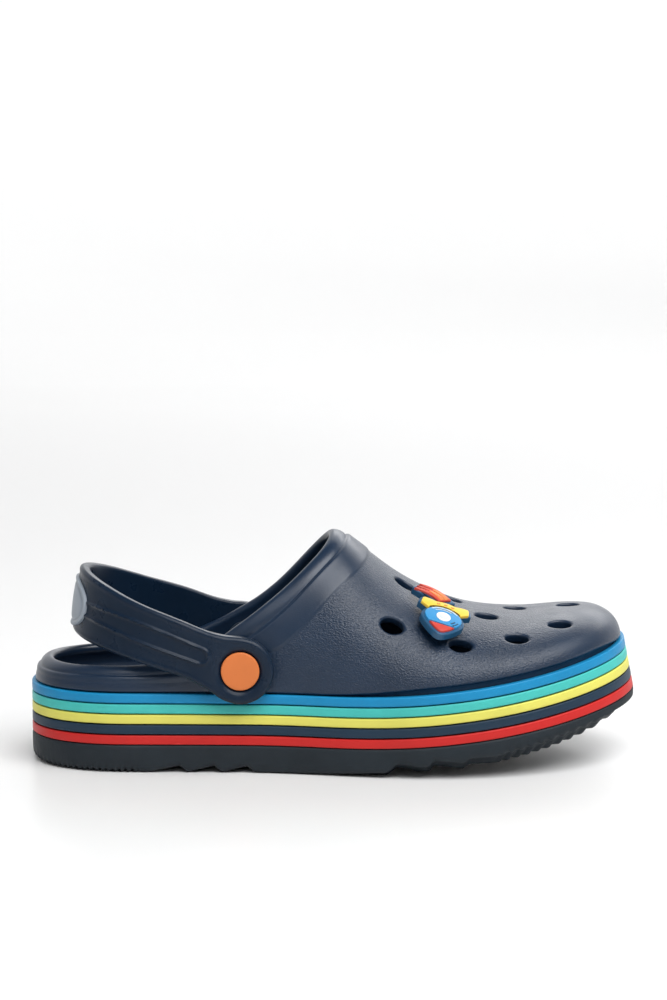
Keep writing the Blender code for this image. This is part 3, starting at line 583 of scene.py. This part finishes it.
def build_upper():
    turn = turns(lambda x: np.interp(x, (-60, 5), (REAR_PACE, VAMP_PACE)), footprint, UPPER_INSET)
    plan = upper_grid(turn)
    vents = [seat_vent(plan, x, y) for x, y in vent_places()]
    bare = skin(plan)
    normals = grid_normals(bare)
    base_x = footprint(UPPER_INSET, turn)[:, 0]
    outer = bare + relief(base_x)[:, :, None] * normals
    inner = bare - WALL * normals
    rings, count = plan.shape[:2]
    away = bare[0] - bare[1]
    away /= np.linalg.norm(away, axis=1, keepdims=True)
    middle = (outer[0] + inner[0]) / 2
    half = (outer[0] - inner[0]) / 2
    lip = []
    for t in np.radians((30, 60, 90, 120, 150)):
        lip.append(middle + math.cos(t) * half + math.sin(t) * WALL / 2 * away)
    foot = [
        bend(level(footprint(UPPER_INSET + 0.15, turn), LEDGE + 0.15)),
        bend(level(footprint(UPPER_INSET + 0.6, turn), LEDGE)),
        bend(level(footprint(CORE_INSET, turn), LEDGE)),
        bend(level(footprint(CORE_INSET, turn), LEDGE - 1.0)),
        bend(level(footprint(CORE_INSET, turn), CORE_TOP + 1.0)),
        bend(level(footprint(CORE_INSET, turn), CORE_TOP + GAP)),
        bend(level(footprint(CORE_INSET + 1.0, turn), CORE_TOP + GAP)),
    ]
    bed = [bend(level(footprint(inset, turn), FOOTBED + rise)) for inset, rise in BED_RINGS]
    rows = foot[::-1] + list(outer[::-1]) + lip + list(inner) + bed
    points = np.concatenate(rows)
    grain = np.zeros((len(rows), count))
    top = len(foot)
    skin_grain = ramp(ring_places(), PANEL_EDGE - 0.3, PANEL_EDGE + 0.8) * ramp(base_x, -38, 0)[None]
    toe_ease = 1 - 0.75 * ramp(bare[:, :, 0], 50, 85) * ramp(bare[:, :, 2], 34, 44)
    grain[top : top + rings] = (0.12 + 0.88 * skin_grain * toe_ease)[::-1]
    outer_row = {j: top + rings - 1 - j for j in range(rings)}
    inner_row = {j: top + rings + len(lip) + j for j in range(rings)}
    cut = set().union(*(vent["cells"] for vent in vents))
    open_cells = {(outer_row[j + 1], c % count) for j, c in cut} | {(inner_row[j], c % count) for j, c in cut}
    faces = []
    for r in range(len(rows) - 1):
        for c in range(count):
            if (r, c) not in open_cells:
                k = (c + 1) % count
                faces.append((r * count + c, r * count + k, (r + 1) * count + k, (r + 1) * count + c))
    for row in (0, len(rows) - 1):
        faces += cross_faces(list(range(row * count, (row + 1) * count)))
    for vent in vents:
        above = [outer_row[j] * count + c % count for j, c in vent["loop"]]
        below = [inner_row[j] * count + c % count for j, c in vent["loop"]]
        previous = above
        for ring in vent_tube(vent, points[above], points[below]):
            row = list(range(len(points), len(points) + len(ring)))
            points = np.concatenate([points, ring])
            faces += strip_faces(previous, row)
            previous = row
        faces += strip_faces(previous, below)
    values = np.concatenate([grain.ravel(), np.full(len(points) - grain.size, 0.1)])
    upper = make("upper", points, faces, "clog", ("clog_shell",), shade=180, attribute=("grain", values))
    smooth = upper.modifiers.new("smooth", "SUBSURF")
    smooth.levels = smooth.render_levels = 1
    return paint(upper, grained_foam("upper_foam", (0.007, 0.020, 0.046), 0.33))


def build_nubs():
    """Massaging nubs on the footbed, in staggered rows under the heel and the ball of the foot."""
    points, faces = [], []
    for row, x in enumerate(np.arange(-84, 82, 4.0)):
        reach = half_width(x, 15)
        for y in np.arange(-40, 41, 4.4) + 2.2 * (row % 2):
            if abs(y) > reach or -44 < x < -12:
                continue
            start = len(points)
            for radius, high in NUB_SECTION:
                for t in np.arange(NUB_SIDES) * 2 * np.pi / NUB_SIDES:
                    along, across = x + 1.3 * radius * math.cos(t), y + centre_y(x) + radius * math.sin(t)
                    points.append((along, across, NUB_BASE + high))
            places = [start + NUB_SIDES * k for k in range(len(NUB_SECTION))]
            rows = [list(range(place, place + NUB_SIDES)) for place in places]
            for low, high_row in zip(rows, rows[1:]):
                faces += strip_faces(low, high_row)
            faces += [tuple(rows[0]), tuple(rows[-1])]
    nubs = make("footbed_nubs", bend(np.array(points)), faces, "clog", shade=60)
    return paint(nubs, foam("nub_foam", (0.024, 0.04, 0.068), 0.5))


def lathe(profile, origin, direction, count=64):
    """Points and faces of a closed turned solid: profile rows are (distance along, radius)."""
    direction = Vector(direction).normalized()
    turn = direction.to_track_quat("Z", "Y").to_matrix()
    t = 2 * np.pi * np.arange(count) / count
    circle = np.column_stack([np.cos(t), np.sin(t), np.zeros(count)]) @ np.array(turn).T
    rings = [np.array(origin) + along * np.array(direction) + radius * circle for along, radius in profile]
    return lofted(rings, caps=lambda row: [tuple(row)])


def build_pads():
    """Round seats on the upper's sides that the strap swivels against."""
    for name, side in (("lateral", -1), ("medial", 1)):
        face = STRAP_INNER_HALF - GAP
        profile = [(SEAT_FACE + 1, PAD_RADIUS), (face - 0.5, PAD_RADIUS), (face - 0.15, PAD_RADIUS - 0.15)]
        profile += [(face, PAD_RADIUS - 0.5), (face, STEM_RADIUS + 0.6)]
        points, faces = lathe(profile, (PIVOT_X, 0, PIVOT_Z), (0, side, 0))
        pad = make(f"swivel_pad_{name}", points, faces, "clog", shade=40)
        paint(pad, foam(f"pad_foam_{name}", (0.02, 0.033, 0.055), 0.5))


# Sole

CARRIED_COLOURS = {
    "midsole_core": (0.02, 0.03, 0.05), "rivet_pin_lateral": (0.02, 0.032, 0.05),
    "rivet_pin_medial": (0.02, 0.032, 0.05),
}
BAND_COLOURS = {
    "red": (0.52, 0.016, 0.014), "navy": (0.009, 0.028, 0.054), "yellow": (0.68, 0.64, 0.12),
    "teal": (0.055, 0.47, 0.43), "blue": (0.005, 0.225, 0.46),
}


def build_bands():
    turn = turns(lambda x: np.full_like(x, 1.1))
    for place, (name, colour) in enumerate(BAND_COLOURS.items()):
        low = OUTSOLE_TOP + GAP + place * BAND_PITCH
        high, radius = low + BAND_HEIGHT, 0.42
        section = [(radius - i, low + radius + z) for i, z in corner(radius, (0, -1), (1, 0), 4)]
        section += [(0, low + BAND_HEIGHT * k / 4) for k in (1.4, 2, 2.6)]
        section += [(radius - i, high - radius + z) for i, z in corner(radius, (1, 0), (0, 1), 4)]
        section += [(1.4, high), (BAND_DEPTH, high), (BAND_DEPTH, low), (1.4, low)]
        rings = [bend(level(footprint(inset, turn), z)) for inset, z in section]
        points, faces = lofted(rings, closed=True)
        band = make(f"foxing_{name}", points, faces, "clog", (f"band_{name}",), shade=50)
        paint(band, foam(f"{name}_foam", colour, 0.46, 0.035, 0.5, 0.06, 0.3, 0.25))


def teeth(x, y, start, pitch, depth, sign):
    """Fine ribs across the tread, in a shallow zigzag."""
    wave = np.abs(((x + 0.35 * np.abs(y)) / pitch) % 1 - 0.5) * 2
    return depth * ramp(sign * (x - start), 0, 3) * ramp(wave, 0.15, 0.85)


def tread(outline, lift, start=ROCKER_START, radius=ROCKER_RADIUS, cut=1.0):
    x, y = outline.T
    toe = np.maximum(x - start, 0) ** 2 / (2 * radius)
    heel = np.maximum(HEEL_EASE_START - x, 0) ** 2 / (2 * HEEL_EASE_RADIUS)
    notch = np.interp(x, *np.array(NOTCHES).T)
    fine = teeth(x, y, *HEEL_TEETH, -1) + teeth(x, y, *TOE_TEETH, 1)
    return np.column_stack([outline, lift + toe + heel + cut * (notch + fine)])


def build_outsole():
    turn = turns(lambda x: np.interp(x, (-64, -60, 48, 54), (0.4, 0.8, 0.8, 0.5)))
    edge = (EDGE_ROCKER_START, EDGE_ROCKER_RADIUS)
    rings = [tread(footprint(inset, turn), 0) for inset in (26, 20, 14, 9, 6)]
    rings += [tread(footprint(inset, turn), lift, *edge, cut) for inset, lift, cut in TREAD_EDGE_RINGS]
    rings += [bend(level(footprint(inset, turn), z)) for inset, z in SOLE_TOP_RINGS]
    points, faces = lofted(rings)
    outsole = make("tread_sole", points, faces, "clog", ("outsole",), shade=50)
    return paint(outsole, foam("sole_rubber", (0.010, 0.016, 0.022), 0.6, 0.09, 0.9, 0.15, 0.3, 0.35))


# Heel strap


def strap_path():
    """Inside face of the strap in its own plane: arc length from the bow, reach, side and outward normal."""
    turn = np.linspace(0, np.pi / 2, 400)
    span = STRAP_REACH - STRAP_STRAIGHT
    reach = np.append(STRAP_STRAIGHT + span * np.cos(turn), -BOSS_RADIUS - 1)
    side = np.append(STRAP_INNER_HALF * np.sin(turn), STRAP_INNER_HALF)
    slope_r, slope_s = np.append(-span * np.sin(turn), -1), np.append(STRAP_INNER_HALF * np.cos(turn), 0)
    size = np.hypot(slope_r, slope_s)
    arc = np.append(0, np.cumsum(np.hypot(np.diff(reach), np.diff(side))))
    return arc, reach, side, slope_s / size, -slope_r / size


PATH = strap_path()
PIVOT_ARC = PATH[0][-1] - BOSS_RADIUS - 1


def strap_points(arc, depth, height):
    """World points of the strap's flat blank, once wrapped round the heel."""
    reach, side, out_r, out_s = (np.interp(np.abs(arc), PATH[0], column) for column in PATH[1:])
    depth = depth + STRAP_FLARE * height * out_r**2
    reach, side = reach + depth * out_r, np.sign(arc + 1e-12) * (side + depth * out_s)
    x = PIVOT_X - reach * math.cos(STRAP_TILT) + height * math.sin(STRAP_TILT)
    z = PIVOT_Z + reach * math.sin(STRAP_TILT) + height * math.cos(STRAP_TILT)
    return np.column_stack([x, side, z])


def strap_face(arc, height, edge):
    """Depth of the strap's outer face: rolled edges, a rib loop on each arm, a dished well at the rivet."""
    far = np.abs(arc)
    boss = ramp(far, PIVOT_ARC - 1.6 * BOSS_RADIUS, PIVOT_ARC - 0.8 * BOSS_RADIUS)
    thick = STRAP_THICK + (BOSS_THICK - STRAP_THICK) * boss
    fall = 1.15 - np.sqrt(np.clip(1.15**2 - (1.15 - np.minimum(edge, 1.15)) ** 2, 0, None))
    bead = 0.16 * np.exp(-(((edge - 1.3) / 0.55) ** 2))
    across = height - rib_centre(far)
    loop = np.abs(np.hypot(np.maximum(far - RIB_END, 0), across) - rib_half(np.minimum(far, RIB_END)))
    rib = 0.75 * np.exp(-((loop / 0.42) ** 2)) * ramp(far, 12.5, 15)
    ring = np.hypot(far - PIVOT_ARC, height)
    dish = DISH_DEPTH * (1 - ramp(ring, CAP_RADIUS + 0.1, CAP_RADIUS + 2.2))
    well = dish + (WELL_DEPTH - DISH_DEPTH) * (1 - ramp(ring, CAP_RADIUS, CAP_RADIUS + 0.5))
    return thick - fall + bead + rib - well


def build_strap():
    inset = np.concatenate([[0, 0.06, 0.22, 0.45, 0.75, 1.1, 1.5, 2.0], np.linspace(2.4, 11.2, 23)[:-1]])
    shares = inset / BOSS_RADIUS
    arcs = np.linspace(-PIVOT_ARC, PIVOT_ARC, 331)
    rays = np.linspace(0, np.pi, 73)[1:-1]
    blank = []
    for arc in arcs:
        settle = ramp(abs(arc), PIVOT_ARC - 8, PIVOT_ARC)
        high = strap_upper(abs(arc)) * (1 - settle) + BOSS_RADIUS * settle
        low = strap_lower(abs(arc)) * (1 - settle) - BOSS_RADIUS * settle
        upper = [(arc, high * (1 - s), s * high) for s in shares]
        lower = [(arc, low * (1 - s), -s * low) for s in shares[::-1]]
        blank.append(upper + [(arc, 0.0, min(high, -low))] + lower)
    blank = np.array(blank)
    width, half = blank.shape[1], len(shares)
    flat = [blank.reshape(-1, 3)]
    rows = [[k * width + i for i in range(width)] for k in range(len(arcs))]
    faces = [(a[i], a[i + 1], b[i + 1], b[i]) for a, b in zip(rows, rows[1:]) for i in range(width - 1)]
    rims = {}
    total = blank.shape[0] * width
    for end, row in ((-1, rows[0]), (1, rows[-1])):
        spokes = [row[:half]]
        for ray in rays:
            radius = BOSS_RADIUS * (1 - shares)
            fan_arc = end * (PIVOT_ARC + radius * np.sin(ray))
            flat.append(np.column_stack([fan_arc, radius * np.cos(ray), BOSS_RADIUS * shares]))
            spokes.append(list(range(total, total + half)))
            total += half
        spokes.append(row[: half : -1])
        for a, b in zip(spokes, spokes[1:]):
            faces += [(a[i], a[i + 1], b[i + 1], b[i]) for i in range(half - 1)]
            faces.append((a[-1], row[half], b[-1]))
        rims[end] = [spoke[0] for spoke in spokes]
    arc, height, edge = np.concatenate(flat).T
    outer = strap_points(arc, strap_face(arc, height, edge), height)
    round_in = 0.8 - np.sqrt(np.clip(0.8**2 - (0.8 - np.minimum(edge, 0.8)) ** 2, 0, None))
    inner = strap_points(arc, round_in, height)
    outline = [row[0] for row in rows[1:-1]] + rims[1] + [row[-1] for row in rows[-2:0:-1]] + rims[-1][::-1]
    walls = [(outline[i], outline[(i + 1) % len(outline)]) for i in range(len(outline))]
    points = np.concatenate([outer, inner])
    faces += [tuple(i + total for i in face) for face in faces]
    faces += [(a, b, b + total, a + total) for a, b in walls]
    strap = make("swivel_strap", points, faces, "strap", ("heel_strap",), shade=70)
    return paint(strap, foam("strap_foam", (0.005, 0.014, 0.031), 0.30, 0.02, 0.6, 0.08, 0.22))


def build_badge():
    """Blank oval pad at the back of the strap: a raised border, a groove and a softly domed middle."""
    back = STRAP_THICK - 0.2
    turn = 2 * np.pi * np.arange(96) / 96
    a, b = -np.cos(turn), np.sin(turn)
    outline = np.column_stack([np.sign(a) * np.abs(a) ** 0.91, np.sign(b) * np.abs(b) ** 0.91])
    border = [(0, -0.6), (0, 0.75), (0.12, 1.0), (0.4, 1.2), (0.8, 1.25), (1.2, 1.15), (1.5, 0.8)]
    middle = [(2.3, 0.95), (2.7, 1.15), (3.6, 1.25), (5, 1.33), (6.4, 1.38), (7.6, 1.4)]
    rings = []
    for inset, high in border + [(1.75, 0.55), (2.0, 0.6)] + middle:
        u, v = (outline * (BADGE_HALF_LENGTH - inset, BADGE_HALF_HEIGHT - inset)).T
        rings.append(strap_points(u, np.full(len(u), back + high), v + BADGE_RISE))
    points, faces = lofted(rings)
    badge = make("heel_badge", points, faces, "strap", ("strap_badge",), shade=60)
    return paint(badge, foam("badge_foam", (0.27, 0.31, 0.36), 0.42, 0.03, 0.8, 0.06, 0.5))


def build_rivets():
    floor = STRAP_INNER_HALF + BOSS_THICK - WELL_DEPTH + GAP
    for name, side in (("lateral", -1), ("medial", 1)):
        face = floor + CAP_THICK
        profile = [(SEAT_FACE, STEM_RADIUS), (floor, STEM_RADIUS)]
        profile += [(floor, CAP_RADIUS - 0.3), (floor + 0.3, CAP_RADIUS)]
        profile += [(face - 0.45 + z, CAP_RADIUS - 0.45 + r) for r, z in corner(0.45, (1, 0), (0, 1), 5)]
        profile += [(face + 0.03, 4.6), (face + 0.06, 2.4), (face + 0.07, 0.6)]
        points, faces = lathe(profile, (PIVOT_X, 0, PIVOT_Z), (0, side, 0), 96)
        button = make(f"swivel_button_{name}", points, faces, "clog", (f"rivet_button_{name}",), shade=40)
        paint(button, foam(f"button_plastic_{name}", (0.62, 0.17, 0.042), 0.5, 0.025, 0.35, 0.05, 0.35))


# Charm


def charm_frame():
    """Rotation and origin of the charm from the record's joint: +Z along the vent's axis, the tail to +Y."""
    joint = JOINTS["charm_spin"]
    normal = np.array(joint["axis"], float)
    forward = np.array([1.0, 0, 0]) - normal[0] * normal
    forward /= np.linalg.norm(forward)
    upslope = np.cross(normal, forward)
    right = math.cos(CHARM_TURN) * forward + math.sin(CHARM_TURN) * upslope
    return np.array([right, np.cross(normal, right), normal]), np.array(joint["pos_m"]) / MM


def hull_outline(margin=0.0, count=72):
    turn = 2 * np.pi * np.arange(count) / count
    across, along = np.cos(turn), np.sin(turn)
    nose = HULL_NOSE * np.maximum(-along, 0) ** 3
    taper = 1 - HULL_TAPER * np.maximum(-along, 0) ** 2
    u = HULL_CENTRE[0] + (HULL_HALF_WIDTH + margin) * across * taper
    return np.column_stack([u, HULL_CENTRE[1] + (HULL_RADIUS + margin) * along - nose])


def fins_outline(margin=0.0, count=44):
    spread = math.radians(54)
    turn = np.linspace(-spread, spread, count)
    point = FIN_POINT * np.clip(1 - np.abs(np.abs(turn) - 0.7) / 0.34, 0, 1)
    outer = HULL_RADIUS + FIN_BAND + point + margin
    inner = HULL_RADIUS + GAP - margin
    wide = HULL_HALF_WIDTH - HULL_RADIUS
    u = np.concatenate([(outer + wide) * np.sin(turn), (inner + wide) * np.sin(turn[::-1])])
    v = np.concatenate([outer * np.cos(turn), inner * np.cos(turn[::-1])])
    return np.column_stack([HULL_CENTRE[0] + u, HULL_CENTRE[1] + v])


def flame_outline(margin=0.0, start=0.0, end=10.8, half=2.4, shift=0.0, count=24):
    along = np.linspace(start - margin, end + margin, count)
    taper = np.sqrt(np.clip(1 - ((along - start) / (end + margin - start)) ** 2, 0, 1))
    width = (half + margin) * taper + 0.15
    lean = 0.6 + 0.05 * along
    spine_u = HULL_CENTRE[0] - 0.6 - along * np.sin(lean)
    spine_v = HULL_CENTRE[1] + HULL_RADIUS + FIN_BAND + 1.3 + along * np.cos(lean) * 0.85
    spine, sideways = np.column_stack([spine_u, spine_v]), np.column_stack([np.cos(lean), np.sin(lean)])
    left = spine - (width - shift)[:, None] * sideways
    right = spine + (width + shift)[:, None] * sideways
    return np.concatenate([right, left[::-1]])


def inset_outline(outline, distance):
    """Moves each point of a closed outline inwards along its own normal."""
    ahead = np.roll(outline, -1, axis=0) - np.roll(outline, 1, axis=0)
    normal = np.column_stack([ahead[:, 1], -ahead[:, 0]])
    normal /= np.maximum(np.linalg.norm(normal, axis=1, keepdims=True), 1e-9)
    x, y = outline.T
    area = np.sum(x * np.roll(y, -1) - y * np.roll(x, -1))
    return outline - math.copysign(distance, area) * normal


def slab(outline, bottom, top, ease):
    """Points and faces of a flat piece with a rounded upper edge, in the charm's own axes."""
    outline = np.asarray(outline, float)
    steps = [(0, bottom)] + [(ease - r, top - ease + z) for r, z in corner(ease, (1, 0), (0, 1), 4)]
    rings = [level(inset_outline(outline, inset) if inset else outline, z) for inset, z in steps]
    return lofted(rings, caps=lambda row: [tuple(row)])


def charm_piece(name, shapes, material, nodes=()):
    """One piece of the charm from one or more (points, faces) solids in the charm's own axes."""
    axes, origin = charm_frame()
    points, faces = [], []
    for some_points, some_faces in shapes:
        start = sum(len(p) for p in points)
        points.append(some_points)
        faces += [tuple(i + start for i in face) for face in some_faces]
    placed = np.concatenate(points) @ axes + origin
    return paint(make(name, placed, faces, "charm", nodes, shade=40), material)


def arc_strip(radius, thick, start, end, count=20):
    """Outline of a curved stripe round the hull's centre."""
    t = np.linspace(math.radians(start), math.radians(end), count)
    wide = HULL_HALF_WIDTH - HULL_RADIUS
    rows = [np.column_stack([(r + wide) * np.sin(t), r * np.cos(t)]) for r in (radius, radius - thick)]
    return np.concatenate([rows[0], rows[1][::-1]]) + HULL_CENTRE


def charm_backing(top):
    """Solids of the backing plate, with the neck and button that hold it in the vent."""
    backing = []
    for outline in (hull_outline, fins_outline, flame_outline):
        backing.append(slab(outline(PLATE_MARGIN), CHARM_RAISE, top, 0.5))
    neck = [(-BUTTON_DEPTH, NECK_RADIUS), (CHARM_RAISE + 0.5, NECK_RADIUS)]
    under = -BUTTON_DEPTH - BUTTON_THICK
    button = [
        (under, BUTTON_RADIUS - 0.6), (under + 0.6, BUTTON_RADIUS),
        (-BUTTON_DEPTH - 0.4, BUTTON_RADIUS), (-BUTTON_DEPTH, BUTTON_RADIUS - 0.5),
    ]
    return backing + [lathe(profile, (0, 0, 0), (0, 0, 1), 40) for profile in (neck, button)]


def hull_parts():
    """The hull's outline cut in two across the shoe: the body, and the nose ahead of it."""
    hull = hull_outline()
    nose_line = HULL_CENTRE[1] + NOSE_LINE
    body = hull[hull[:, 1] > nose_line + GAP]
    nose = hull[hull[:, 1] < nose_line]
    start = int(np.argmax(np.linalg.norm(np.roll(body, -1, axis=0) - body, axis=1))) + 1
    return np.roll(body, -start, axis=0), nose


def build_charm():
    def plastic(name, colour):
        return foam(name, colour, 0.34, 0.012, 0.5, 0.05, 0.5)

    def inlay(outline, rise=0.0, ease=0.3):
        return slab(outline, seat, face + rise, ease)

    def trim(outline):
        return slab(outline, face - 0.3, face + 0.18, 0.1)

    top = CHARM_RAISE + PLATE_THICK
    seat, face = top - 0.2, top + INLAY_THICK
    navy = plastic("charm_navy", (0.012, 0.075, 0.16))
    charm_piece("rocket_backing", charm_backing(top), navy, ("charm_base",))
    body, nose = hull_parts()
    blue = plastic("charm_blue", (0.03, 0.26, 0.55))
    charm_piece("rocket_hull", [inlay(body)], blue, ("charm_hull",))
    red = plastic("charm_red", (0.55, 0.05, 0.035))
    charm_piece("rocket_nose", [inlay(nose)], red, ("charm_nose",))
    yellow = plastic("charm_yellow", (0.82, 0.55, 0.06))
    charm_piece("rocket_fins", [inlay(fins_outline())], yellow, ("charm_fins",))
    flame = [inlay(flame_outline(half=0.62, shift=shift), 0, 0.28) for shift in (-1.6, 0.0, 1.6)]
    charm_piece("rocket_flame", flame, plastic("charm_flame_red", (0.6, 0.07, 0.045)), ("charm_flame",))
    core = [inlay(flame_outline(0, 0.2, 6.4, 0.6, shift), 0.3, 0.25) for shift in (-0.8, 0.8)]
    orange = plastic("charm_orange", (0.78, 0.24, 0.07))
    charm_piece("rocket_flame_core", core, orange, ("charm_flame_core",))
    t = 2 * np.pi * np.arange(48) / 48
    circle = np.column_stack([np.cos(t), np.sin(t)])
    white = plastic("charm_white", (0.8, 0.82, 0.85))
    window = [slab(HULL_CENTRE + WINDOW_RADIUS * circle, face - 0.3, face + 0.3, 0.2)]
    charm_piece("rocket_window_ring", window, white, ("charm_window",))
    glass = [slab(HULL_CENTRE + GLASS_RADIUS * circle, face, face + 0.5, 0.2)]
    charm_piece("rocket_window_glass", glass, plastic("charm_glass", (0.62, 0.7, 0.78)))
    stripes = [trim(arc_strip(5.0, 0.55, -52, 52)), trim(arc_strip(3.9, 0.35, -44, 30))]
    charm_piece("rocket_stripes", stripes, plastic("charm_pale", (0.45, 0.62, 0.78)))
    bars = [trim(arc_strip(radius, 0.5, 108, 138, 10)) for radius in (4.8, 3.7)]
    charm_piece("rocket_bars", bars, navy)
    dashes = [trim(arc_strip(7.3, 0.55, middle - 4, middle + 4, 6)) for middle in (-18, 0, 18)]
    charm_piece("rocket_dashes", dashes, orange)


def paint_carried():
    """The CAD nodes that are shown as they are: the sole's core and the rivets' inner halves."""
    for node, colour in CARRIED_COLOURS.items():
        paint(frame["nodes"][node], foam(f"{node}_finish", colour, 0.5))


# Setting


def build_stage():
    """A pale sweep all round: flat floor, then a wall that glows softly, brighter behind the shoe."""
    flat, sides = 1.4, 96  # radius of the flat floor and of its turn up to the wall, in metres
    profile = [(r, 0.0) for r in (0.02, 0.15, 0.3, 0.5, 0.8, 1.1, flat)]
    rise = np.linspace(0, math.pi / 2, 13)[1:]
    profile += [(flat + flat * math.sin(t), flat - flat * math.cos(t)) for t in rise]
    profile += [(2 * flat, 2.2), (2 * flat, 3.4)]
    turn = 2 * np.pi * np.arange(sides) / sides
    rings = [np.column_stack([r * np.cos(turn), r * np.sin(turn), np.full(sides, z)]) for r, z in profile]
    points = np.concatenate(rings)
    rows = [list(range(sides * k, sides * k + sides)) for k in range(len(rings))]
    faces = [tuple(rows[0])]
    for low, high in zip(rows, rows[1:]):
        faces += strip_faces(low, high)
    mesh = bpy.data.meshes.new("sweep")
    mesh.from_pydata(points.tolist(), [], faces)
    mesh.shade_smooth()
    sweep = bpy.data.objects.new("sweep", mesh)
    bpy.context.scene.collection.objects.link(sweep)
    material, tree, shader, at = shader_nodes("paper", 0.35, 0.25)
    shader.inputs["Base Color"].default_value = (0.78, 0.78, 0.78, 1)
    split = tree.nodes.new("ShaderNodeSeparateXYZ")
    tree.links.new(at, split.inputs[0])
    squares = [combine(tree, "POWER", split.outputs[axis], 2.0) for axis in (0, 1)]
    far = combine(tree, "POWER", combine(tree, "ADD", *squares), 0.5)
    wall = remap(tree, far, 0.0, 1.0, 0.5, 2.4)
    behind = remap(tree, split.outputs[1], 0.02, 0.6, 0.2, 1.8)
    tree.links.new(combine(tree, "MULTIPLY", wall, behind), shader.inputs["Emission Strength"])
    shader.inputs["Emission Color"].default_value = (1, 1, 1, 1)
    mesh.materials.append(material)


def area_light(name, place, aim, size, power, colour=(1, 1, 1)):
    light = bpy.data.lights.new(name, "AREA")
    light.shape = "RECTANGLE"
    light.size, light.size_y = size
    light.energy = power
    light.color = colour
    obj = bpy.data.objects.new(name, light)
    obj.location = place
    obj.rotation_euler = (Vector(aim) - Vector(place)).to_track_quat("-Z", "Y").to_euler()
    bpy.context.scene.collection.objects.link(obj)


def build_lights():
    world = bpy.data.worlds.new("studio")
    world.use_nodes = True
    world.node_tree.nodes["Background"].inputs["Color"].default_value = (0.95, 0.97, 1.0, 1)
    world.node_tree.nodes["Background"].inputs["Strength"].default_value = 0.08
    bpy.context.scene.world = world
    area_light("overhead", (0.38, -0.6, 1.12), (0, 0, 0), (1.4, 1.0), 25)
    area_light("back_softbox", (0.4, 1.2, 0.75), (0, 0, 0.03), (1.0, 0.5), 4)


def build_camera():
    """At the photograph's angle: level with the sole's side and looking a little down on it."""
    low, high = CAD_BOX
    target = Vector(((low.x + high.x) / 2, 0, 0.035))
    elevation, distance = math.radians(10.2), 1.1
    aim_above = math.radians(2.5947)  # the shoe stands a little below the middle of the picture
    camera = bpy.data.cameras.new("camera")
    camera.sensor_width = 36
    camera.lens = 119.16
    obj = bpy.data.objects.new("camera", camera)
    obj.location = target + distance * Vector((0, -math.cos(elevation), math.sin(elevation)))
    obj.rotation_euler = (math.pi / 2 - elevation + aim_above, 0, 0)
    bpy.context.scene.collection.objects.link(obj)
    bpy.context.scene.camera = obj
    bpy.context.scene.view_settings.view_transform = "Standard"


build_upper()
build_nubs()
build_pads()
build_bands()
build_outsole()
build_strap()
build_badge()
build_rivets()
build_charm()
paint_carried()
build_stage()
build_lights()
build_camera()
